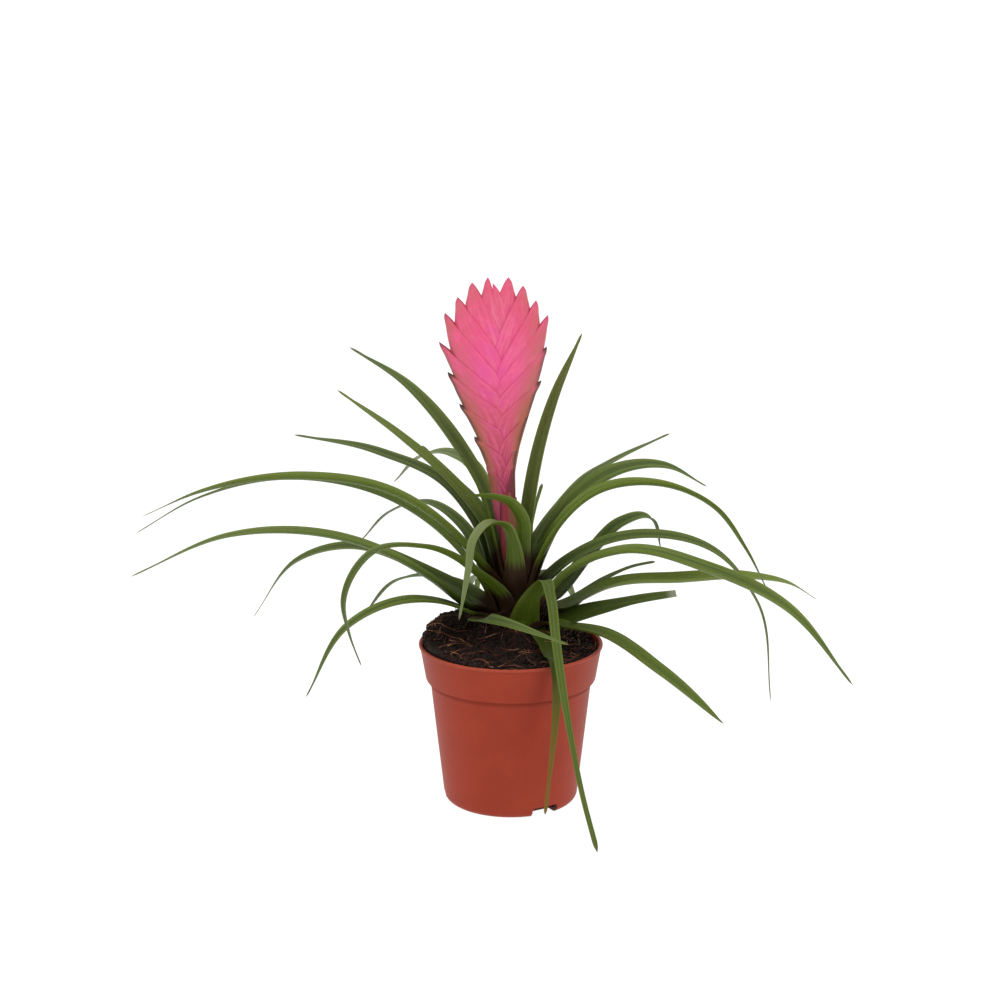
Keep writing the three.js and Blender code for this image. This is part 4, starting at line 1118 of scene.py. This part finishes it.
def make_bract(number, bract):
    """Points, faces and marks of one folded bract: two thin skins that meet all round its edge."""
    side, out, tip, length, belly, dark, seam, maroon = bract
    share = np.linspace(0, 1, BRACT_ROWS)[:, None]
    fold = np.linspace(-1, 1, 2 * BRACT_COLUMNS + 1)[None, :]
    u = np.abs(fold)
    height = tip - length * (1 - share)
    arch = 2 * (KEEL_FOOT - 2 * belly + out)
    keel = side * (KEEL_FOOT + (out - KEEL_FOOT - arch) * share + arch * share ** 2)
    rise = (height - seam) / (tip - seam)
    power = MARGIN_POWERS[0] - MARGIN_POWERS[1] * min(1, abs(out) / BROAD_BRACT)
    if out > 0:
        opened = out * np.clip(rise, 0, 1) ** power
        crossed = np.minimum(MARGIN_OVERLAP, MARGIN_CROSSING * np.clip(seam - height, 0, None))
        margin = side * (opened - crossed)
    else:
        opened = (out + MARGIN_OVERLAP) * np.clip(rise, 0, 1) ** LAST_MARGIN_POWER
        margin = side * (opened - MARGIN_OVERLAP)
    from_tip = length * (1 - share)
    swell = (keel - margin) * TIP_SWELL * np.exp(-((from_tip / TIP_SWELL_LENGTH) ** 2))
    keel = keel + KEEL_SWELL_SHARE * swell
    margin = margin - (1 - KEEL_SWELL_SHARE) * swell
    middle_line = axis_x(height)
    x = keel + (margin - keel) * u
    z = height + 0 * u
    left_width = np.interp(z, HEAD_HEIGHTS, HEAD_LEFT_WIDTHS)
    right_width = np.interp(z, HEAD_HEIGHTS, HEAD_RIGHT_WIDTHS)
    half_width = np.where(x < 0, left_width, right_width)
    half_depth = np.interp(z, HEAD_HEIGHTS, HEAD_HALF_DEPTHS)
    lens = half_depth * np.sqrt(np.clip(1 - (np.abs(x) / (half_width + LENS_MARGIN)) ** 2, 0, 1))
    above = height - seam
    outside = BURIED_SHARE + RISEN_SHARE / (1 + np.exp(-above / RISE_LENGTH))
    gap = np.abs(margin - keel) * (1 - u)
    depth = lens * outside + STEP_PER_MM * np.clip(above, *STEP_RANGE)
    depth = depth - EDGE_DIP * np.exp(-gap / EDGE_DIP_REACH)
    depth = np.maximum(depth, LEAST_DEPTH) * np.minimum(1, np.sqrt(u / KEEL_ROUNDING))
    depth = depth * (1 - smoothstep(share, TIP_FLAT_START, 1.0) * TIP_FLATNESS)
    ripple = RIPPLE * np.sin(u * RIPPLE_PITCH + number * RIPPLE_SHIFT) * share * (1 - share) * 4
    depth = depth + ripple * np.minimum(1, u / RIPPLE_START)
    outer = np.stack([x + middle_line, np.sign(fold) * depth, z], -1)
    thickness = BRACT_THICKNESS * (1 - u ** 6)
    for end in (share, 1 - share):
        thickness = thickness * np.sin(np.pi * np.clip(end * BRACT_END_SHARPNESS, 0, 0.5))
    inner_depth = np.maximum(depth - thickness, 0)
    inner_x = x - side * thickness * (1 - np.minimum(1, u / KEEL_ROUNDING))
    inner = np.stack([inner_x + middle_line, np.sign(fold) * inner_depth, z], -1)
    rows, columns = x.shape
    points = np.concatenate([outer.reshape(-1, 3), inner.reshape(-1, 3)])
    faces = []
    for row in range(rows - 1):
        for column in range(columns - 1):
            a = row * columns + column
            quad = (a, a + 1, a + columns + 1, a + columns)
            back = tuple(rows * columns + place for place in reversed(quad))
            faces.extend((quad, back) if side > 0 else (tuple(reversed(quad)), tuple(reversed(back))))
    outwards = np.clip(np.abs(x) / half_width, 0, 1)
    up = np.clip((z - HEAD_FOOT) / HEAD_LENGTH, 0, 1)
    even = 0 * x
    marks = {"bract_place": (u + even, share + even, dark + even),
             "bract_traits": (outwards, up, (number * PATTERN_STEP) % PATTERN_CYCLE + even),
             "bract_edge": (gap * MARK_SCALE, maroon + even, np.abs(margin - keel) * u * MARK_SCALE)}
    marks = {name: np.stack(parts, -1).reshape(-1, 3) for name, parts in marks.items()}
    return points, faces, {name: np.concatenate([part, part]) for name, part in marks.items()}


def make_bracts(name, bracts, material):
    """Several bracts as one mesh with their marks."""
    points = []
    faces = []
    marks = {"bract_place": [], "bract_traits": [], "bract_edge": []}
    count = 0
    for number, bract in enumerate(bracts):
        some_points, some_faces, some_marks = make_bract(number, bract)
        points.append(some_points)
        for key, part in some_marks.items():
            marks[key].append(part)
        faces.extend(tuple(corner + count for corner in face) for face in some_faces)
        count += len(some_points)
    obj = plain_mesh(name, np.concatenate(points), faces, material)
    for key, parts in marks.items():
        put_attribute(obj.data, key, np.concatenate(parts))
    return weld(obj)


def weld(obj):
    """Closes a mesh where its skins meet and turns its faces outwards."""
    work = bmesh.new()
    work.from_mesh(obj.data)
    bmesh.ops.remove_doubles(work, verts=work.verts, dist=WELD_DISTANCE)
    bmesh.ops.dissolve_degenerate(work, edges=work.edges, dist=SLIVER_LENGTH)
    bmesh.ops.recalc_face_normals(work, faces=work.faces)
    work.to_mesh(obj.data)
    work.free()
    obj.data.polygons.foreach_set("use_smooth", np.ones(len(obj.data.polygons), bool))
    obj.data.set_sharp_from_angle(angle=math.radians(SHARP_ANGLE))
    return obj


def make_stalk(material):
    """The stout stalk below the head with the scape bracts that clasp it."""
    points = []
    for height, radius in STALK_ROWS:
        for angle in angles(STALK_SIDES):
            ridge = STALK_RIDGE * math.sin(angle * STALK_RIDGES + height * STALK_RIDGE_TWIST)
            out = radius * (1 + ridge)
            points.append((axis_x(height) + out * math.cos(angle), out * math.sin(angle), height))
    count = len(points)
    faces = [tuple(reversed(range(STALK_SIDES))), tuple(range(count - STALK_SIDES, count))]
    faces.extend(ring_faces(len(STALK_ROWS), STALK_SIDES))
    for number, bract in enumerate(SCAPE_BRACTS):
        some_points, some_faces, _ = make_bract(number, bract)
        count = len(points)
        points.extend(some_points)
        faces.extend(tuple(corner + count for corner in face) for face in some_faces)
    return weld(plain_mesh("stalk", points, faces, material))


def turned(profile, sides, name, material):
    """A body turned about the Z axis, from a profile that starts and ends on the axis."""
    points = []
    inner = profile[1:-1]
    for radius, height in inner:
        points.extend((radius * math.cos(angle), radius * math.sin(angle), height) for angle in angles(sides))
    points.append((0, 0, profile[0][1]))
    points.append((0, 0, profile[-1][1]))
    faces = ring_faces(len(inner), sides)
    low = len(points) - 2
    last = (len(inner) - 1) * sides
    for index in range(sides):
        after = (index + 1) % sides
        faces.append((low, after, index))
        faces.append((low + 1, last + index, last + after))
    return plain_mesh(name, points, faces, material)


def rounded(profile, radius):
    """The profile with each inner corner rounded by an arc of about that radius."""
    result = [profile[0]]
    for before, corner, after in zip(profile, profile[1:], profile[2:]):
        before, corner, after = (np.array(point, float) for point in (before, corner, after))
        into = before - corner
        away = after - corner
        reach = min(radius, np.linalg.norm(into) / 2.2, np.linalg.norm(away) / 2.2)
        first = corner + into / np.linalg.norm(into) * reach
        last = corner + away / np.linalg.norm(away) * reach
        for t in np.linspace(0, 1, ROUNDING_STEPS + 1):
            result.append(tuple(first * (1 - t) ** 2 + corner * 2 * t * (1 - t) + last * t * t))
    result.append(profile[-1])
    return result


def make_pot(material):
    """The pot's wall, collar and lip turned in one, with its notches cut from the foot."""
    corner = FOOT_RADIUS - FOOT_CORNER
    foot = []
    for step in range(FOOT_STEPS):
        angle = math.radians(-90 + FOOT_STEP_ANGLE * step)
        foot.append((corner + FOOT_CORNER * math.cos(angle), FOOT_CORNER + FOOT_CORNER * math.sin(angle)))
    shoulder = POT_HEIGHT - SHOULDER_DEPTH
    slope = (SHOULDER_RADIUS - FOOT_RADIUS) / (shoulder - FOOT_CORNER)
    wall = [(FOOT_RADIUS + slope * (height - FOOT_CORNER), height) for height in WALL_HEIGHTS]
    turn_out = [(SHOULDER_RADIUS + out, shoulder + up) for out, up in SHOULDER_TURN]
    upper = wall + turn_out + [
        (COLLAR_FOOT_RADIUS, POT_HEIGHT - COLLAR_DEPTH),
        (RIM_RADIUS - LIP_OVERHANG, POT_HEIGHT - LIP_DEPTH),
        (RIM_RADIUS, POT_HEIGHT - LIP_DEPTH + LIP_EDGES[0]),
        (RIM_RADIUS, POT_HEIGHT - LIP_EDGES[1]),
        (RIM_RADIUS - LIP_OVERHANG, POT_HEIGHT),
        (RIM_RADIUS - LIP_OVERHANG - WALL, POT_HEIGHT - LIP_INNER_DROP),
        (COLLAR_FOOT_RADIUS - WALL, POT_HEIGHT - COLLAR_DEPTH),
        (SHOULDER_RADIUS - WALL, POT_HEIGHT - SHOULDER_DEPTH),
        (FOOT_RADIUS - WALL, FOOT_CORNER),
        (FOOT_RADIUS - FOOT_CORNER, FLOOR_THICKNESS),
        (0, FLOOR_THICKNESS),
    ]
    profile = [(0, 0)] + foot + rounded([foot[-1]] + upper, EDGE_ROUNDING)[1:]
    pot = turned(profile, POT_SIDES, "nursery_pot", material)
    for azimuth in NOTCH_AZIMUTHS:
        cutter = plain_mesh("notch_cutter", *notch_box(azimuth), material, smooth=False)
        cut = pot.modifiers.new("Notch", "BOOLEAN")
        cut.operation = "DIFFERENCE"
        cut.solver = "EXACT"
        cut.object = cutter
    made_plain(pot)
    for cutter in [obj for obj in bpy.data.objects if obj.name.startswith("notch_cutter")]:
        bpy.data.objects.remove(cutter)
    return pot


def notch_box(azimuth):
    """A rounded slot through the foot, as points and faces."""
    angle = math.radians(azimuth)
    along = np.array([math.cos(angle), math.sin(angle), 0])
    across = np.array([-math.sin(angle), math.cos(angle), 0])
    up = np.array([0, 0, 1.0])
    half = NOTCH_WIDTH / 2
    corner_height = NOTCH_HEIGHT - NOTCH_CORNER
    outline = [(-half, -1.0), (half, -1.0), (half, corner_height)]
    for corner, start in ((half - NOTCH_CORNER, 0), (NOTCH_CORNER - half, 90)):
        for step in range(NOTCH_CORNER_STEPS):
            turn = math.radians(start + 90 / (NOTCH_CORNER_STEPS - 1) * step)
            outline.append((corner + NOTCH_CORNER * math.cos(turn),
                            corner_height + NOTCH_CORNER * math.sin(turn)))
    points = []
    for reach in (NOTCH_REACH, FOOT_RADIUS + FOOT_CORNER):
        for wide, high in outline:
            points.append(along * reach + across * wide + up * high)
    count = len(outline)
    faces = [tuple(reversed(range(count))), tuple(range(count, 2 * count))]
    for index in range(count):
        after = (index + 1) % count
        faces.append((index, after, after + count, index + count))
    return points, faces


def peat_top(x, y):
    """Height of the peat: a low mound, higher at the back left and where it hugs the crown."""
    out = math.hypot(x, y) / PEAT_RADIUS
    azimuth = math.atan2(y, x)
    tilt = PEAT_TILT_RISE * out * math.cos(azimuth - math.radians(PEAT_TILT_AZIMUTH))
    mound = PEAT_MOUND * (1 - out * out)
    hug = PEAT_COLLAR_RISE * math.exp(-((math.hypot(x - PLANT_X, y) / PEAT_COLLAR_REACH) ** 4))
    lobe_x, lobe_y = PEAT_LOBE
    lobe = PEAT_LOBE_RISE * math.exp(-((x - lobe_x) ** 2 + (y - lobe_y) ** 2) / PEAT_LOBE_REACH ** 2)
    spot = Vector((x, y, PEAT_LUMP_SLICE))
    rough = sum(lift * noise.noise(spot * pitch) for pitch, lift in PEAT_LUMPS)
    calm = 1 - PEAT_CALM * smoothstep(out, PEAT_CALM_START, 1.0)
    height = PEAT_EDGE_HEIGHT + tilt + mound + hug + lobe + rough * calm
    rim_limit = POT_HEIGHT + PEAT_RIM_RISE + PEAT_RIM_SLOPE * (PEAT_RADIUS - math.hypot(x, y))
    return min(height, rim_limit + PEAT_RIM_ROUGHNESS * rough)


def make_peat(material):
    """The top of the root ball, with a skirt that goes down inside the pot."""
    points = []
    creep_start, creep_end = PEAT_RIM_CREEP_BAND
    for ring in range(PEAT_RINGS + 1):
        share = (ring / PEAT_RINGS) ** PEAT_RING_CROWDING
        for angle in angles(PEAT_SIDES):
            edge_height = peat_top(PEAT_RADIUS * math.cos(angle), PEAT_RADIUS * math.sin(angle))
            inside = COLLAR_FOOT_RADIUS - WALL - PEAT_CLEARANCE
            rise = (min(edge_height, POT_HEIGHT) - POT_HEIGHT + COLLAR_DEPTH) / COLLAR_DEPTH
            inside += (RIM_RADIUS - LIP_OVERHANG - COLLAR_FOOT_RADIUS) * rise
            creep = smoothstep(edge_height, POT_HEIGHT + creep_start, POT_HEIGHT + creep_end)
            inside += PEAT_RIM_CREEP * float(creep)
            x = inside * share * math.cos(angle)
            y = inside * share * math.sin(angle)
            points.append((x, y, peat_top(x, y)))
    skirt = len(points)
    radius = COLLAR_FOOT_RADIUS - WALL - PEAT_SKIRT_CLEARANCE
    for angle in angles(PEAT_SIDES):
        points.append((radius * math.cos(angle), radius * math.sin(angle), POT_HEIGHT - PEAT_DEPTH))
    faces = ring_faces(PEAT_RINGS + 2, PEAT_SIDES, outwards=False)
    faces.append(tuple(reversed(range(skirt, skirt + PEAT_SIDES))))
    return weld(plain_mesh("peat_bed", points, faces, material))


def top_patch(reach, material):
    """The open top of the peat alone out to some radius, for scattering on."""
    points = []
    for ring in range(SCATTER_RINGS + 1):
        radius = SCATTER_START + (reach - SCATTER_START) * ring / SCATTER_RINGS
        for angle in angles(SCATTER_SIDES):
            x = radius * math.cos(angle)
            y = radius * math.sin(angle)
            points.append((x, y, peat_top(x, y)))
    faces = ring_faces(SCATTER_RINGS + 1, SCATTER_SIDES, outwards=False)
    return plain_mesh("scatter_ground", points, faces, material)


def scattered(bench, given):
    """Random spots on the ground that a tree is given."""
    return bench.add("GeometryNodeDistributePointsOnFaces", {"distribute_method": "RANDOM"},
                     given["Geometry"], None, given["Count per square metre"], Seed=given["Seed"])


def crumb_tree():
    """Scatters small uneven crumbs over the peat."""
    tree, bench, given = new_tree("crumbs", (("Count per square metre", "Float"), ("Smallest", "Float"),
                                             ("Largest", "Float"), ("Seed", "Int"), ("Skin", "Material")))
    spots = scattered(bench, given)
    seed = given["Seed"]
    size = bench.chance("FLOAT", given["Smallest"], given["Largest"], seed + 1.0)
    turn = bench.chance("FLOAT_VECTOR", (0, 0, 0), (CRUMB_TURN, CRUMB_TURN, CRUMB_TURN), seed + 2.0)
    flat = bench.chance("FLOAT_VECTOR", *CRUMB_SHAPES, seed + 3.0)
    crumb = bench.add("GeometryNodeMeshIcoSphere", {}, 1.0, 2)
    scale = bench.vectors("SCALE", flat, Scale=size)
    laid = bench.add("GeometryNodeInstanceOnPoints", {}, spots, Instance=crumb, Rotation=turn, Scale=scale)
    real = bench.add("GeometryNodeRealizeInstances", {}, laid)
    place = bench.add("GeometryNodeInputPosition", {})
    wobble = bench.add("ShaderNodeTexNoise", {}, place, Scale=CRUMB_DENT_SCALE, Detail=1.0).out("Color")
    centred = bench.vectors("SUBTRACT", wobble, (0.5, 0.5, 0.5))
    shift = bench.vectors("SCALE", centred, Scale=CRUMB_DENT * MM)
    close_tree(bench, bench.add("GeometryNodeSetPosition", {}, real, Offset=shift), given["Skin"])
    return tree


def fibre_tree():
    """Scatters curling fibres over the peat."""
    tree, bench, given = new_tree("fibres", (("Count per square metre", "Float"), ("Shortest", "Float"),
                                             ("Longest", "Float"), ("Radius", "Float"), ("Curl", "Float"),
                                             ("Reach", "Float"), ("Seed", "Int"), ("Skin", "Material")))
    spots = scattered(bench, given)
    length = bench.chance("FLOAT", given["Shortest"], given["Longest"], given["Seed"] + 1.0)
    least = (-FIBRE_TILT, -FIBRE_TILT, 0)
    turn = bench.chance("FLOAT_VECTOR", least, (FIBRE_TILT, FIBRE_TILT, FIBRE_TURN), given["Seed"] + 2.0)
    line = bench.add("GeometryNodeCurvePrimitiveLine", {}, (-0.5, 0, 0), (0.5, 0, 0))
    line = bench.add("GeometryNodeResampleCurve", {}, line, Count=FIBRE_POINTS)
    scale = bench.vector(length, 1.0, 1.0)
    laid = bench.add("GeometryNodeInstanceOnPoints", {}, spots, Instance=line, Rotation=turn, Scale=scale)
    real = bench.add("GeometryNodeRealizeInstances", {}, laid)
    place = bench.add("GeometryNodeInputPosition", {})
    wobble = bench.add("ShaderNodeTexNoise", {}, place, Scale=FIBRE_CURL_SCALE, Detail=1.0).out("Color")
    centred = bench.vectors("SUBTRACT", wobble, FIBRE_CURL_CENTRE)
    shift = bench.stretched(bench.vectors("SCALE", centred, Scale=given["Curl"]), FIBRE_CURL_SHARES)
    x, y, z = bench.parts(bench.vectors("ADD", place, shift))
    out = (x * x + y * y) ** 0.5
    inwards = (given["Reach"] / out).at_most(1.0)
    ceiling = FIBRE_CEILING * MM + (given["Reach"] - out) * FIBRE_CEILING_SLOPE
    curled = bench.vector(x * inwards, y * inwards, z.at_most(ceiling))
    curled = bench.add("GeometryNodeSetPosition", {}, real, Position=curled)
    ring = bench.add("GeometryNodeCurvePrimitiveCircle", {}, FIBRE_SIDES, Radius=given["Radius"])
    tube = bench.add("GeometryNodeCurveToMesh", {}, curled, ring, Fill_Caps=True)
    close_tree(bench, tube, given["Skin"])
    return tree


def add_lamp(name, place, size, power):
    lamp = bpy.data.lights.new(name, "AREA")
    lamp.shape = "DISK"
    lamp.size = size
    lamp.energy = power
    obj = bpy.data.objects.new(name, lamp)
    obj.location = place
    obj.rotation_euler = (Vector(LAMP_AIM) - Vector(place)).to_track_quat("-Z", "Y").to_euler()
    bpy.context.scene.collection.objects.link(obj)


def set_the_stage():
    """Camera, white floor, soft lights and a white surround."""
    scene = bpy.context.scene
    lens = bpy.data.cameras.new("view")
    lens.sensor_width = SENSOR_WIDTH
    lens.lens = CAMERA_FOCAL_PIXELS * SENSOR_WIDTH / FRAME_SIDE
    camera = bpy.data.objects.new("view", lens)
    camera.location = CAMERA_PLACE
    camera.rotation_euler = (math.radians(90 - CAMERA_PITCH), 0, 0)
    scene.collection.objects.link(camera)
    scene.camera = camera
    corners = [(x * FLOOR_HALF_SIDE, y * FLOOR_HALF_SIDE, -FLOOR_DROP)
               for x, y in ((-1, -1), (1, -1), (1, 1), (-1, 1))]
    floor = plain_mesh("floor", corners, [(0, 1, 2, 3)], floor_material())
    scene.world = surround()
    for name, place, size, power in LAMPS:
        add_lamp(name, place, size, power)
    scene.view_settings.view_transform = "Standard"


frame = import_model()
leaf_skin = leaf_material()
bract_skin = bract_material()
stalk_skin = stalk_material()
peat_skin = peat_material()
fibre_skin = fibre_material()

blades = blade_tree()
for number, leaf in enumerate(LEAVES):
    blade = make_leaf(number, leaf, blades, leaf_skin)
    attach(blade, "root")
    if leaf[0] != "back_short_tip":
        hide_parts("leaf_" + leaf[0])

head = make_bracts("flower_head", BRACTS, bract_skin)
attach(head, "root")
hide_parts("quill")

stalk = make_stalk(stalk_skin)
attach(stalk, "root")
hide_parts("flower_stalk")

pot = make_pot(pot_material())
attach(pot, "root")
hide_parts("pot")

peat = make_peat(peat_skin)
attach(peat, "root")
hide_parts("soil")

crumbs = top_patch(CRUMB_REACH, peat_skin)
crumbs.name = "peat_crumbs"
grown(crumbs, crumb_tree(), {"Count per square metre": CRUMBS_BY_AREA, "Smallest": CRUMB_SIZES[0] * MM,
                             "Largest": CRUMB_SIZES[1] * MM, "Seed": SEED, "Skin": peat_skin})
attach(crumbs, "root")

fibres = top_patch(FIBRE_REACH, fibre_skin)
fibres.name = "coir_fibres"
grown(fibres, fibre_tree(), {"Count per square metre": FIBRES_BY_AREA, "Shortest": FIBRE_LENGTHS[0] * MM,
                             "Longest": FIBRE_LENGTHS[1] * MM, "Radius": FIBRE_RADIUS * MM,
                             "Curl": FIBRE_CURL * MM, "Reach": FIBRE_REACH * MM, "Seed": SEED + 10,
                             "Skin": fibre_skin})
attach(fibres, "root")

crown = frame["nodes"]["crown"]
crown.data.materials.clear()
crown.data.materials.append(crown_material())

set_the_stage()
